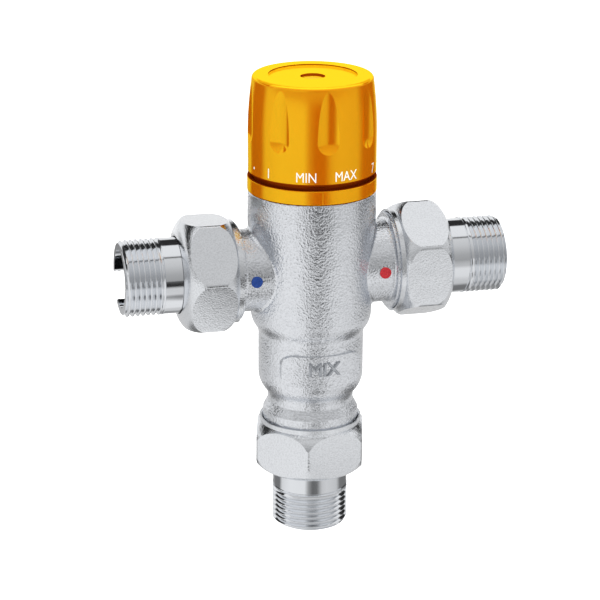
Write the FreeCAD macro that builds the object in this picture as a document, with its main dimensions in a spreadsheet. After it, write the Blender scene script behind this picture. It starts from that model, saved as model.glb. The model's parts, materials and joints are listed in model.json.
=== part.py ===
import FreeCAD, Part
import math
import os
import Sketcher
from FreeCAD import Placement, Rotation, Vector

# Thermostatic mixing valve for a hot water line.  A brass tee casting has the cold
# inlet at -X, the hot inlet at +X and the mixed outlet at -Z, each with a union nut
# and a threaded tail.  A dial at +Z sets the outlet temperature: its spindle lifts
# or lowers the wax element, which slides a shutter between the cold and the hot seat.
# Millimetres.  The origin is the centre of the outlet tail's end, +Z is up, and the
# front, with the dial's marks, faces -Y.  Levels are heights above the inlets' axis.

SIZES = [
    # union joint: nut, tail and gasket, alike on all three connections
    ("spigot_radius", 16.62, "G1 thread on the casting, over the crests"),
    ("spigot_engagement", 10.5, "spigot inside the nut"),
    ("spigot_chamfer", 0.9, "lead-in at the spigot's end"),
    ("gasket_thickness", 2.0, "fibre washer"),
    ("gasket_bore_radius", 10.2, "opening of the washer"),
    ("tail_length", 27.0, "tail from its flange face to its end"),
    ("tail_thread_radius", 13.22, "G3/4 thread on the tail, over the crests"),
    ("tail_thread_length", 13.7, "threaded length of the tail"),
    ("tail_chamfer", 1.0, "lead-in at the tail's end"),
    ("tail_neck_radius", 13.0, "plain neck of the tail"),
    ("tail_bore_radius", 10.0, "waterway of the tail"),
    ("tail_flange_radius", 14.9, "flange that the nut pulls in"),
    ("tail_flange_thickness", 3.5, "thickness of that flange"),
    ("tail_notch_width", 10.4, "assembly notch in the tail's rim"),
    ("tail_notch_depth", 4.2, "depth of that notch"),
    ("tail_notch_turn", 120.0, "direction of that notch round the tail"),
    ("nut_across_flats", 37.0, "union nut hexagon"),
    ("nut_length", 19.9, "union nut length"),
    ("nut_corner_round", 1.7, "rounding of the hexagon's corners"),
    ("nut_crown_radius", 8.3, "crown arc at both ends of the nut"),
    ("nut_crown_start", 13.0, "radius where the crown leaves the end plane"),
    ("nut_rim_radius", 17.8, "turned rim round the nut's mouth"),
    ("nut_mouth_chamfer", 0.55, "lead-in of the nut's thread"),
    ("nut_bore_clearance", 0.05, "nut bore over the spigot"),
    ("nut_collar_clearance", 0.15, "nut collar over the tail"),
    # casting
    ("nut_gap", 1.0, "start of the inlet thread to the nut's near face"),
    ("outlet_nut_reach", 54.7, "inlet axis to the outlet nut's near face"),
    ("trunk_radius", 22.08, "upper trunk"),
    ("trunk_top", 27.75, "level of the trunk's top face"),
    ("trunk_top_round", 0.6, "rounding of the top edge"),
    ("trunk_straight_end", 17.0, "level where the trunk starts to taper"),
    ("trunk_taper", 1.13, "draw-in of the trunk at the end of its taper"),
    ("trunk_taper_end", -16.0, "level of the end of the taper"),
    ("trunk_step_share", 0.6, "share of the step down that is convex"),
    ("barrel_step", 2.65, "lower barrel inside the trunk's end"),
    ("barrel_top", -24.0, "level of the barrel's top"),
    ("barrel_bottom", -38.0, "level of the barrel's bottom"),
    ("barrel_round_share", 0.668, "share of the lower shoulder that is convex"),
    ("waist_radius", 14.95, "waist above the outlet spigot"),
    ("waist_top", -47.0, "level of the waist's top"),
    ("waist_bottom", -48.4, "level of the waist's bottom"),
    ("outlet_spigot_start", -51.6, "level where the outlet thread starts"),
    ("branch_share", 0.301, "neck of each inlet branch, between its bore and the trunk"),
    ("branch_fillet", 1.0, "inside corner at the end of the neck"),
    ("neck_length", 4.52, "trunk's side to the start of the inlet thread"),
    ("junction_fillet", 1.2, "cast fillet between branch and trunk"),
    ("plaque_inset", 4.3, "barrel's side to the end of the raised plaque on its front"),
    ("plaque_low", -38.2, "level of the plaque's lower edge"),
    ("plaque_high", -27.2, "level of the plaque's upper edge"),
    ("plaque_height", 0.5, "plaque above the barrel at its middle"),
    ("plaque_flattening", 5.7, "radius of the plaque's face beyond the barrel's"),
    ("plaque_corner", 3.6, "corner radius of the plaque"),
    ("dot_radius", 2.0, "cold and hot marker"),
    ("dot_offset", 0.52, "trunk's side to the middle of a marker"),
    ("dot_depth", 1.0, "socket of a marker below the neck's surface"),
    ("dot_proud", 0.25, "marker above the neck's surface"),
    ("dot_clearance", 0.02, "marker in its socket"),
    # waterways in the casting
    ("trunk_wall", 3.63, "wall round the threaded bore for the bonnet"),
    ("bonnet_bore_floor", 15.2, "level of that bore's floor"),
    ("cold_chamber_step", 0.95, "upper, cold chamber inside that bore"),
    ("hot_chamber_step", 0.5, "lower, hot chamber inside the cold one"),
    ("partition_half", 2.5, "half thickness of the partition between them"),
    ("shutter_clearance", 0.05, "shutter in the partition"),
    ("partition_groove_half", 1.2, "half width of the partition seal's groove"),
    ("partition_groove_depth", 2.15, "depth of that groove"),
    ("partition_seal_proud", 0.02, "seal proud of the partition's bore"),
    ("hot_seat_gap", 0.2, "shutter above the hot seat when the wax has melted"),
    ("hot_seat_width", 0.7, "mixing chamber inside the shutter, the hot seat"),
    ("mixing_floor", -35.5, "level of the spring seat's ledge"),
    ("outlet_bore_radius", 11.0, "outlet waterway"),
    ("cartridge_bore_radius", 10.95, "bore for check valve and strainer"),
    ("port_depth", 4.5, "port's end wall to that bore's shoulder"),
    ("port_radius", 8.5, "port behind the check valve"),
    ("port_wall", 2.0, "wall between port and cold chamber"),
    ("window_half_width", 5.25, "half width of the inlet window"),
    ("window_height", 5.0, "height of the inlet window"),
    # bonnet and index ring
    ("ring_overhang", 0.12, "index ring outside the trunk"),
    ("ring_top", 32.7, "level of the index ring's top"),
    ("ring_wall", 1.75, "wall of the ring"),
    ("ring_web", 1.5, "web of the ring under the bonnet flange"),
    ("ring_web_clearance", 0.2, "opening of that web round the bonnet's bore"),
    ("ring_edge", 0.3, "rounded edges of the ring"),
    ("bonnet_thread_clearance", 0.05, "bonnet in the casting"),
    ("bonnet_floor_gap", 0.3, "bonnet plug above the bore's floor"),
    ("bonnet_flange_clearance", 0.25, "bonnet flange in the ring"),
    ("bonnet_flange_thickness", 2.5, "bonnet flange thickness"),
    ("bonnet_across_flats", 27.0, "bonnet hexagon"),
    ("bonnet_hex_height", 5.25, "height of the bonnet hexagon"),
    ("bonnet_guide_wall", 2.5, "wall round the guide bore, inside the hexagon"),
    ("bonnet_neck_radius", 9.5, "gland neck of the bonnet"),
    ("bonnet_neck_height", 8.0, "height of the gland neck"),
    ("skirt_overhang", 0.8, "bonnet skirt in the cold chamber, outside the shutter"),
    ("cold_seat_gap", 0.38, "shutter below the cold seat when the carrier is up"),
    ("skirt_bore_depth", 2.5, "depth of the skirt's opening"),
    ("seal_ring_radius", 1.1, "section of the bonnet seal"),
    ("seal_ring_clearance", 0.02, "bonnet seal in its groove"),
    ("bonnet_seal_level", 22.8, "level of the bonnet seal"),
    # spindle and dial knob
    ("spindle_radius", 5.5, "spindle in the gland"),
    ("spindle_clearance", 0.05, "spindle in the gland"),
    ("spindle_thread_radius", 5.0, "left-hand lifting thread"),
    ("spindle_thread_length", 10.0, "length of the lifting thread"),
    ("spindle_lead_in", 0.5, "chamfer at the thread's end"),
    ("spindle_collar_radius", 8.0, "thrust collar"),
    ("spindle_collar_height", 2.0, "height of the thrust collar"),
    ("thrust_clearance", 0.05, "play of the spindle along its axis"),
    ("spindle_groove_radius", 4.3, "floor of the seal grooves"),
    ("spindle_groove_width", 1.5, "width of the seal grooves"),
    ("spindle_groove_level", 37.5, "level of the lower seal groove"),
    ("spindle_groove_pitch", 3.5, "spacing of the two seal grooves"),
    ("spindle_seal_section", 0.58, "section of the spindle seals"),
    ("clip_groove_radius", 4.8, "floor of the clip's groove"),
    ("clip_radius", 7.0, "outside of the clip"),
    ("clip_thickness", 1.0, "thickness of the clip"),
    ("clip_opening", 5.0, "gap of the clip"),
    ("drive_circle_radius", 5.2, "hexagonal drive of the spindle, over corners"),
    ("drive_height", 11.0, "height of the drive"),
    ("drive_clearance", 0.04, "drive in the knob"),
    ("screw_radius", 2.0, "knob screw"),
    ("screw_depth", 9.0, "screw in the spindle"),
    ("screw_head_radius", 3.7, "head of the knob screw"),
    ("screw_head_height", 2.6, "height of that head"),
    ("screw_socket_radius", 1.6, "drive socket in that head"),
    ("screw_socket_depth", 1.56, "depth of the drive socket"),
    ("knob_inset", 0.2, "dial knob inside the ring"),
    ("knob_bottom", 34.3, "level of the knob's lower edge"),
    ("knob_edge", 0.35, "rounding of the lower edge"),
    ("knob_straight_end", 47.0, "level where the knob starts to draw in"),
    ("knob_draw_in", 1.3, "knob drawn in below the top edge"),
    ("knob_crest", 66.3, "level of that radius"),
    ("knob_top", 67.6, "level of the knob's top"),
    ("knob_top_edge", 1.0, "width of the rounded top edge"),
    ("knob_top_land", 4.6, "flat rim round the recessed disc in the top"),
    ("knob_recess_depth", 0.7, "depth of that recess"),
    ("knob_skirt", 3.4, "wall of the knob's skirt"),
    ("knob_top_wall", 2.4, "wall under the recess"),
    ("knob_lip", 1.6, "depth of the inner lip that covers the gap"),
    ("knob_lip_gap", 0.35, "lip above the bonnet flange"),
    ("knob_hub_radius", 8.2, "hub on the spindle"),
    ("knob_hub_gap", 0.9, "hub above the spindle clip"),
    ("knob_well_radius", 4.25, "well over the screw"),
    ("rib_thickness", 1.5, "stiffening ribs of the knob"),
    ("rib_depth", 12.0, "height of the ribs"),
    ("rib_turn", 67.5, "direction of the rib that carries the stop"),
    ("flute_depth", 1.25, "depth of the grip flutes"),
    ("flute_radius", 8.3, "section radius of the grip flutes"),
    ("flute_bottom", 44.9, "level of the flutes' lower end"),
    ("cap_clearance", 0.06, "plug in the knob's well"),
    ("cap_sink", 1.2, "plug below the recess"),
    ("cap_thickness", 1.2, "thickness of the plug"),
    ("dial_turn", 338.2, "turn of the dial between its stops"),
    ("stop_inner", 10.5, "inner radius of the dial stops"),
    ("stop_length", 2.8, "radial length of the dial stops"),
    ("stop_width", 1.9, "width of each dial stop"),
    ("stop_height", 3.4, "height of the bonnet's stop"),
    ("stop_gap", 0.6, "knob's stop above the hexagon"),
    # carrier, overload pack and wax element
    ("guide_radius", 10.05, "bonnet bore that guides the carrier"),
    ("guide_top", 34.0, "level of that bore's ceiling"),
    ("carrier_clearance", 0.05, "carrier in its guide"),
    ("carrier_bottom", 6.5, "level of the carrier's lower rim"),
    ("carrier_height", 21.0, "height of the carrier"),
    ("carrier_bore_radius", 8.2, "inside of the carrier"),
    ("carrier_roof", 6.0, "threaded roof of the carrier"),
    ("carrier_thread_clearance", 0.05, "carrier thread on the spindle"),
    ("key_width", 2.5, "keys that stop the carrier turning"),
    ("key_radius", 11.2, "outside of those keys"),
    ("key_clearance", 0.1, "keys in the bonnet's slots"),
    ("key_bottom", 14.0, "level of the keys' lower end"),
    ("lifting_pitch", 3.0, "left-hand lifting thread, rise for each turn"),
    ("snap_ring_thickness", 1.0, "snap ring in the carrier"),
    ("snap_ring_offset", 0.4, "snap ring above the carrier's rim"),
    ("snap_ring_groove", 0.7, "depth of its groove"),
    ("snap_ring_clearance", 0.14, "snap ring short of the groove's floor"),
    ("snap_ring_opening", 2.5, "gap of the snap ring"),
    ("snap_ring_bore_radius", 6.2, "opening of the snap ring"),
    ("cup_thickness", 2.0, "overload cup"),
    ("cup_rim_thickness", 1.0, "rim of the cup, under the spring"),
    ("cup_boss_clearance", 0.3, "boss of the cup inside the spring"),
    ("cup_clearance", 0.2, "overload cup in the carrier"),
    ("cup_socket_depth", 1.0, "socket for the pin"),
    ("overload_wire", 0.75, "section radius of the overload spring"),
    ("overload_radius", 6.2, "mean radius of the overload spring"),
    ("overload_turns", 4.0, "turns of the overload spring"),
    ("pin_radius", 1.6, "piston pin of the wax element"),
    ("pin_clearance", 0.05, "pin in its guide"),
    ("pin_bottom", 1.0, "level of the pin's lower end"),
    ("element_stroke", 1.5, "travel of the wax element"),
    ("element_neck_radius", 3.6, "guide neck of the element"),
    ("element_neck_top", 6.0, "level of the neck's top"),
    ("element_flange_radius", 7.5, "flange of the element"),
    ("element_flange_thickness", 2.5, "thickness of that flange"),
    ("element_radius", 6.0, "sensing cup of the element"),
    ("element_bottom", -30.0, "level of the cup's end"),
    ("element_end_round", 2.0, "rounding of the cup's end"),
    # shutter and return spring
    ("shutter_radius", 13.7, "shutter sleeve"),
    ("shutter_wall", 1.4, "wall of the sleeve"),
    ("shutter_top", 7.3, "level of the sleeve's upper edge"),
    ("shutter_bottom", -10.3, "level of its lower edge"),
    ("hub_radius", 8.2, "hub on the element"),
    ("hub_top", -2.0, "level of the hub's top"),
    ("hub_height", 4.0, "height of hub and spokes"),
    ("hub_clearance", 0.05, "element in the hub"),
    ("spoke_width", 2.4, "spokes between hub and sleeve"),
    ("return_wire", 0.7, "section radius of the return spring"),
    ("return_radius", 7.2, "mean radius of the return spring"),
    ("return_turns", 5.0, "turns of the return spring"),
    ("seat_plate_thickness", 1.5, "spring seat"),
    ("seat_plate_clearance", 0.1, "spring seat in the mixing chamber"),
    ("seat_boss_radius", 6.35, "boss that centres the spring"),
    ("seat_boss_height", 1.2, "height of that boss"),
    ("seat_bore_radius", 3.8, "middle flow hole of the spring seat"),
    ("seat_window_radius", 2.0, "flow holes of the spring seat"),
    ("seat_window_inset", 2.8, "middle of the flow holes to the chamber's wall"),
    # check valve and strainer, alike in both inlets
    ("cartridge_clearance", 0.05, "cartridge in its bore"),
    ("strainer_rim", 2.0, "rim of the strainer, flush with the spigot"),
    ("strainer_radius", 8.5, "basket of the strainer"),
    ("strainer_wall", 0.5, "wall of the basket"),
    ("strainer_reach", 12.9, "basket beyond the spigot's end"),
    ("strainer_slot_width", 3.2, "slots of the basket"),
    ("strainer_slot_margin", 1.6, "solid bands at the slots' ends"),
    ("check_wall", 1.5, "wall of the check valve's housing"),
    ("check_seat_radius", 6.5, "seat opening"),
    ("check_seat_thickness", 3.0, "seat ring"),
    ("check_spider_thickness", 2.0, "spider that guides the stem"),
    ("check_spider_radius", 3.2, "hub of the spider"),
    ("check_spider_width", 1.8, "arms of the spider"),
    ("check_groove_width", 2.2, "groove of the cartridge seal"),
    ("check_groove_depth", 0.9, "depth of that groove"),
    ("check_seal_section", 0.46, "section of the cartridge seal"),
    ("poppet_radius", 8.0, "head of the poppet"),
    ("poppet_thickness", 1.8, "thickness of the head"),
    ("poppet_nose_radius", 6.3, "nose in the seat"),
    ("poppet_nose_height", 1.0, "height of the nose"),
    ("poppet_nose_draft", 0.5, "draw-in of the nose"),
    ("poppet_stem_radius", 1.4, "stem of the poppet"),
    ("poppet_stem_clearance", 0.05, "stem in the spider"),
    ("poppet_stem_end", 0.5, "stem short of the cartridge's inner end"),
    ("check_wire", 0.35, "section radius of the check spring"),
    ("check_spring_radius", 2.5, "mean radius of the check spring"),
    ("check_turns", 3.0, "turns of the check spring"),
]

FLUTES = 8
SPOKES = 4
STRAINER_SLOTS = 6
SPIDER_ARMS = 3
FLOW_HOLES = 6
HEXAGON = 6

OVERCUT = 1.0       # how far a cut runs past the face it leaves through
ROOT = 0.5          # how far an added form starts inside what carries it
TOLERANCE = 0.01

doc = FreeCAD.newDocument("MixingValve")
sheet = doc.addObject("Spreadsheet::Sheet", "Sizes")
for row, (alias, number, meaning) in enumerate(SIZES, start=1):
    sheet.set("A%d" % row, meaning)
    sheet.set("B%d" % row, repr(number))
    sheet.setAlias("B%d" % row, alias)
doc.recompute()


class Size:
    """A size with both its number and the sheet formula that gives it."""

    def __init__(self, number, formula):
        self.number = number
        self.formula = formula

    def __add__(self, other):
        other = as_size(other)
        return Size(self.number + other.number, "(%s + %s)" % (self.formula, other.formula))

    def __sub__(self, other):
        other = as_size(other)
        return Size(self.number - other.number, "(%s - %s)" % (self.formula, other.formula))

    def __mul__(self, other):
        other = as_size(other)
        return Size(self.number * other.number, "(%s * %s)" % (self.formula, other.formula))

    def __truediv__(self, other):
        other = as_size(other)
        return Size(self.number / other.number, "(%s / %s)" % (self.formula, other.formula))

    def __neg__(self):
        return Size(-self.number, "(-1 * %s)" % self.formula)

    def root(self):
        return Size(math.sqrt(self.number), "sqrt(%s)" % self.formula)


def as_size(value):
    if isinstance(value, Size):
        return value
    return Size(float(value), repr(float(value)))


class Sheet:
    """The sheet's cells as sizes, by alias."""

    def __init__(self, rows):
        for alias, number, meaning in rows:
            setattr(self, alias, Size(number, "Sizes." + alias))


s = Sheet(SIZES)
ZERO = as_size(0)
COS_30 = as_size(math.cos(math.pi / 6))


def bind(target, path, value):
    target.setExpression(path, as_size(value).formula)


def place(target, x=ZERO, y=ZERO, z=ZERO, axis=Vector(0, 0, 1), turn=ZERO):
    """Put a finished object at x, y, z, turned about the given axis."""
    x, y, z, turn = as_size(x), as_size(y), as_size(z), as_size(turn)
    target.Placement = Placement(Vector(x.number, y.number, z.number), Rotation(axis, turn.number))
    for path, value in (("x", x), ("y", y), ("z", z)):
        bind(target, "Placement.Base." + path, value)
    bind(target, "Placement.Rotation.Angle", turn)


# ---- drawing and PartDesign features ----

def arc_to(across, along, radius, side=1):
    """A corner reached by an arc; side is +1 where the arc bulges left of its chord."""
    return (across, along, radius, side)


def base_plane(body, role):
    for feature in body.Origin.OriginFeatures:
        if feature.Role == role:
            return feature
    raise ValueError(role)


def new_sketch(body, name, role, offset=ZERO, turn=ZERO):
    """A sketch on one of the body's base planes, moved along its normal and turned."""
    sketch = body.newObject("Sketcher::SketchObject", name)
    sketch.AttachmentSupport = [(base_plane(body, role), "")]
    sketch.MapMode = "FlatFace"
    offset, turn = as_size(offset), as_size(turn)
    sketch.AttachmentOffset = Placement(
        Vector(0, 0, offset.number), Rotation(Vector(0, 0, 1), turn.number))
    bind(sketch, "AttachmentOffset.Base.z", offset)
    bind(sketch, "AttachmentOffset.Rotation.Angle", turn)
    return sketch


def pin_point(sketch, edge, end, across, along):
    """Fix a point of the sketch to its two sizes, or to an axis where a size is nought."""
    for kind, value, axis in (("DistanceX", across, -2), ("DistanceY", along, -1)):
        if abs(value.number) < 1e-9:
            sketch.addConstraint(Sketcher.Constraint("PointOnObject", edge, end, axis))
        else:
            index = sketch.addConstraint(
                Sketcher.Constraint(kind, -1, 1, edge, end, value.number))
            bind(sketch, "Constraints[%d]" % index, value)


def arc_through(start, end, radius, side):
    """The circle arc between two points that bulges left (+1) or right (-1) of the chord."""
    chord = end - start
    half = chord.Length / 2
    left = Vector(-chord.y, chord.x, 0).normalize()
    rise = math.sqrt(max(radius * radius - half * half, 0))
    centre = (start + end) * 0.5 - left * (side * rise)
    first, last = (end, start) if side > 0 else (start, end)
    angles = [math.atan2(point.y - centre.y, point.x - centre.x) for point in (first, last)]
    return Part.ArcOfCircle(Part.Circle(centre, Vector(0, 0, 1), radius), *angles)


def draw_outline(sketch, corners):
    """Draw a closed outline whose every corner and arc is bound to the sheet."""
    corners = [tuple(as_size(value) for value in corner[:2]) + tuple(corner[2:])
               for corner in corners]
    points = [Vector(corner[0].number, corner[1].number, 0) for corner in corners]
    count = len(corners)
    first = sketch.GeometryCount
    ends = []
    for index in range(count):
        follower = corners[(index + 1) % count]
        start, end = points[index], points[(index + 1) % count]
        if len(follower) == 4:
            arc = arc_through(start, end, as_size(follower[2]).number, follower[3])
            sketch.addGeometry(arc, False)
            ends.append((2, 1) if follower[3] > 0 else (1, 2))
        else:
            sketch.addGeometry(Part.LineSegment(start, end), False)
            ends.append((1, 2))
    for index in range(count):
        after = (index + 1) % count
        sketch.addConstraint(Sketcher.Constraint(
            "Coincident", first + index, ends[index][1], first + after, ends[after][0]))
    for index, corner in enumerate(corners):
        pin_point(sketch, first + index, ends[index][0], corner[0], corner[1])
    for index in range(count):
        follower = corners[(index + 1) % count]
        if len(follower) == 4:
            radius = as_size(follower[2])
            number = sketch.addConstraint(
                Sketcher.Constraint("Radius", first + index, radius.number))
            bind(sketch, "Constraints[%d]" % number, radius)


def draw_circle(sketch, across, along, radius):
    across, along, radius = as_size(across), as_size(along), as_size(radius)
    centre = Vector(across.number, along.number, 0)
    edge = sketch.addGeometry(Part.Circle(centre, Vector(0, 0, 1), radius.number), False)
    pin_point(sketch, edge, 3, across, along)
    index = sketch.addConstraint(Sketcher.Constraint("Radius", edge, radius.number))
    bind(sketch, "Constraints[%d]" % index, radius)


def new_body(label):
    body = doc.addObject("PartDesign::Body", label)
    body.Label = label
    return body


def turned(body, name, corners, axis="V_Axis", cut=False, role="XZ_Plane", axis_at=None):
    """Turn an outline about the vertical or the horizontal axis, adding or cutting."""
    sketch = new_sketch(body, name + "_outline", role)
    draw_outline(sketch, corners)
    if axis_at is not None:
        draw_turning_axis(sketch, axis_at)
        axis = "Axis0"
    kind = "PartDesign::Groove" if cut else "PartDesign::Revolution"
    feature = body.newObject(kind, name)
    feature.Profile = sketch
    feature.ReferenceAxis = (sketch, [axis])
    feature.Angle = 360.0
    return feature


def draw_turning_axis(sketch, across):
    """A vertical construction line, the turning axis of an outline off the centre."""
    across = as_size(across)
    line = Part.LineSegment(Vector(across.number, 0, 0), Vector(across.number, 1, 0))
    edge = sketch.addGeometry(line, True)
    pin_point(sketch, edge, 1, across, ZERO)
    sketch.addConstraint(Sketcher.Constraint("Vertical", edge))
    index = sketch.addConstraint(Sketcher.Constraint("DistanceY", edge, 1, edge, 2, 1.0))
    sketch.renameConstraint(index, "axis_length")


def extruded(body, name, corners, base, height, role="XY_Plane", cut=False, turn=ZERO):
    """Extrude an outline from a plane at the base, along the plane's normal."""
    sketch = new_sketch(body, name + "_outline", role, base, turn)
    draw_outline(sketch, corners)
    return extrude_sketch(body, name, sketch, height, cut)


def extrude_sketch(body, name, sketch, height, cut=False):
    kind = "PartDesign::Pocket" if cut else "PartDesign::Pad"
    feature = body.newObject(kind, name)
    feature.Profile = sketch
    feature.Reversed = bool(cut)
    bind(feature, "Length", height)
    return feature


def polar(body, feature, count):
    """Repeat a feature of the body about its vertical axis."""
    pattern = body.newObject("PartDesign::PolarPattern", feature.Name + "_pattern")
    pattern.Originals = [feature]
    pattern.Axis = (base_plane(body, "Z_Axis"), [""])
    pattern.Angle = 360.0
    pattern.Occurrences = count
    body.Tip = pattern
    return pattern


def fillet(body, name, edges, radius):
    feature = body.newObject("PartDesign::Fillet", name)
    feature.Base = (body.Tip if body.Tip != feature else feature.BaseFeature, edges)
    bind(feature, "Radius", radius)
    body.Tip = feature
    return feature


def box_outline(low_across, low_along, high_across, high_along):
    return [(low_across, low_along), (high_across, low_along),
            (high_across, high_along), (low_across, high_along)]


def hexagon_outline(circle_radius):
    """A hexagon with a corner on the first axis."""
    corners = []
    for step in range(HEXAGON):
        angle = math.radians(60 * step)
        corners.append((circle_radius * as_size(math.cos(angle)),
                        circle_radius * as_size(math.sin(angle))))
    return corners


def coil(label, mean_radius, wire, low, high, turns):
    """A round-wire compression spring between two levels of its own axis."""
    body = new_body(label)
    sketch = new_sketch(body, label + "_wire", "XZ_Plane")
    draw_circle(sketch, mean_radius, low + wire, wire)
    helix = body.newObject("PartDesign::AdditiveHelix", label + "_coil")
    helix.Profile = sketch
    helix.ReferenceAxis = (sketch, ["V_Axis"])
    helix.Mode = "height-turns-angle"
    bind(helix, "Height", high - low - wire * 2)
    bind(helix, "Turns", turns)
    helix.LeftHanded = False
    return body


def seal_ring(label, mean_radius, section, x=ZERO, y=ZERO, z=ZERO, axis=Vector(0, 0, 1),
              turn=ZERO):
    """A rubber O-ring."""
    ring = doc.addObject("Part::Torus", label)
    ring.Label = label
    bind(ring, "Radius1", mean_radius)
    bind(ring, "Radius2", section)
    place(ring, x, y, z, axis, turn)
    return ring


# ---- places that several pieces share ----

trunk_taper_radius = s.trunk_radius - s.trunk_taper
barrel_radius = trunk_taper_radius - s.barrel_step
branch_radius = (s.cartridge_bore_radius
                 + (s.trunk_radius - s.cartridge_bore_radius) * s.branch_share)
bonnet_bore_radius = s.trunk_radius - s.trunk_wall
cold_chamber_radius = bonnet_bore_radius - s.cold_chamber_step
hot_chamber_radius = cold_chamber_radius - s.hot_chamber_step
port_end = cold_chamber_radius + s.port_wall
cartridge_bore_end = port_end + s.port_depth
inlet_spigot_start = s.trunk_radius + s.neck_length
inlet_nut_reach = inlet_spigot_start + s.nut_gap
dot_reach = s.trunk_radius + s.dot_offset
ring_radius = s.trunk_radius + s.ring_overhang
ring_wall_radius = ring_radius - s.ring_wall
ring_web_radius = bonnet_bore_radius + s.ring_web_clearance
bonnet_flange_radius = ring_wall_radius - s.bonnet_flange_clearance
knob_radius = ring_radius - s.knob_inset
knob_crest_radius = knob_radius - s.knob_draw_in
knob_top_radius = knob_crest_radius - s.knob_top_edge
knob_recess_radius = knob_top_radius - s.knob_top_land
knob_cavity_radius = knob_radius - s.knob_skirt
knob_lip_radius = knob_cavity_radius + s.knob_lip
shutter_bore_radius = s.shutter_radius - s.shutter_wall
shutter_bore = s.shutter_radius + s.shutter_clearance
skirt_radius = s.shutter_radius + s.skirt_overhang
mixing_radius = s.shutter_radius - s.hot_seat_width
partition_groove_radius = shutter_bore + s.partition_groove_depth
seat_window_circle = mixing_radius - s.seat_window_inset
union_end = s.spigot_engagement + s.gasket_thickness + s.tail_length
axis_height = s.outlet_nut_reach + union_end
inlet_spigot_end = inlet_nut_reach + s.spigot_engagement
outlet_spigot_end = s.outlet_nut_reach + s.spigot_engagement
bonnet_shelf = s.trunk_top + s.ring_web
hex_bottom = bonnet_shelf + s.bonnet_flange_thickness
hex_top = hex_bottom + s.bonnet_hex_height
neck_top = hex_top + s.bonnet_neck_height
stop_spread = (as_size(360) - s.dial_turn) / 2
carrier_lift = s.lifting_pitch * s.dial_turn / 360
cold_seat_level = s.shutter_top + carrier_lift + s.cold_seat_gap
hot_seat_level = s.shutter_bottom - s.element_stroke - s.hot_seat_gap
clip_bottom = neck_top + s.thrust_clearance
drive_bottom = clip_bottom + s.clip_thickness
spindle_top = drive_bottom + s.drive_height
keys_top = s.carrier_bottom + s.carrier_height
carrier_radius = s.guide_radius - s.carrier_clearance
snap_ring_bottom = s.carrier_bottom + s.snap_ring_offset
cup_bottom = snap_ring_bottom + s.snap_ring_thickness
carrier_ceiling = s.carrier_bottom + s.carrier_height - s.carrier_roof
cartridge_radius = s.cartridge_bore_radius - s.cartridge_clearance
strainer_seat = inlet_spigot_end - s.strainer_rim
seat_face = strainer_seat - s.check_seat_thickness
recess_floor = s.knob_top - s.knob_recess_depth


def level(value):
    """Height of a level in the part's own frame."""
    return axis_height + value


# ---- casting ----

def s_curve(start_radius, start_level, end_radius, end_level, share):
    """Two arcs, convex then concave, that step down from one radius to a smaller one."""
    drop = start_level - end_level
    inset = start_radius - end_radius
    whole = (drop * drop + inset * inset) / (inset * 2)
    middle_radius = start_radius - inset * share
    middle_level = start_level - drop * share
    return [arc_to(middle_radius, level(middle_level), whole * share, 1),
            arc_to(end_radius, level(end_level), whole * (as_size(1) - share), -1)]


def casting():
    body = new_body("casting")
    spigot_low = level(-outlet_spigot_end)
    outline = [
        (ZERO, level(s.trunk_top)),
        (s.trunk_radius - s.trunk_top_round, level(s.trunk_top)),
        arc_to(s.trunk_radius, level(s.trunk_top) - s.trunk_top_round, s.trunk_top_round, 1),
        (s.trunk_radius, level(s.trunk_straight_end)),
        (trunk_taper_radius, level(s.trunk_taper_end)),
    ]
    outline += s_curve(trunk_taper_radius, s.trunk_taper_end,
                       barrel_radius, s.barrel_top, s.trunk_step_share)
    outline += [(barrel_radius, level(s.barrel_bottom))]
    outline += s_curve(barrel_radius, s.barrel_bottom,
                       s.waist_radius, s.waist_top, s.barrel_round_share)
    outline += [
        (s.waist_radius, level(s.waist_bottom)),
        (s.spigot_radius, level(s.outlet_spigot_start)),
        (s.spigot_radius, spigot_low + s.spigot_chamfer),
        (s.spigot_radius - s.spigot_chamfer, spigot_low),
        (ZERO, spigot_low),
    ]
    turned(body, "trunk", outline)
    branches(body)
    doc.recompute()
    fillet(body, "junctions", junction_edges(body.Shape), s.junction_fillet)
    waterways(body)
    dot_sockets(body)
    return body


def branches(body):
    """Both inlet necks with their spigots, turned about the inlets' axis."""
    start = mixing_radius
    for name, sign in (("cold", -1), ("hot", 1)):
        corners = [
            (start, ZERO),
            (start, branch_radius),
            (inlet_spigot_start - s.branch_fillet, branch_radius),
            arc_to(inlet_spigot_start, branch_radius + s.branch_fillet,
                   s.branch_fillet, -sign),
            (inlet_spigot_start, s.spigot_radius),
            (inlet_spigot_end - s.spigot_chamfer, s.spigot_radius),
            (inlet_spigot_end, s.spigot_radius - s.spigot_chamfer),
            (inlet_spigot_end, ZERO),
        ]
        lying_turned(body, name + "_branch", corners, sign)


def lying_turned(body, name, corners, sign, cut=False):
    """Turn an outline of (distance, radius) corners about the inlets' axis."""
    placed = []
    for corner in corners:
        distance, radius = as_size(corner[0]), as_size(corner[1])
        if sign < 0:
            distance = -distance
        placed.append((distance, radius) + tuple(corner[2:]))
    sketch = new_sketch(body, name + "_outline", "XZ_Plane")
    sketch.AttachmentOffset = Placement(Vector(0, axis_height.number, 0), Rotation())
    bind(sketch, "AttachmentOffset.Base.y", axis_height)
    draw_outline(sketch, placed)
    kind = "PartDesign::Groove" if cut else "PartDesign::Revolution"
    feature = body.newObject(kind, name)
    feature.Profile = sketch
    feature.ReferenceAxis = (sketch, ["H_Axis"])
    feature.Angle = 360.0
    return feature


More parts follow.
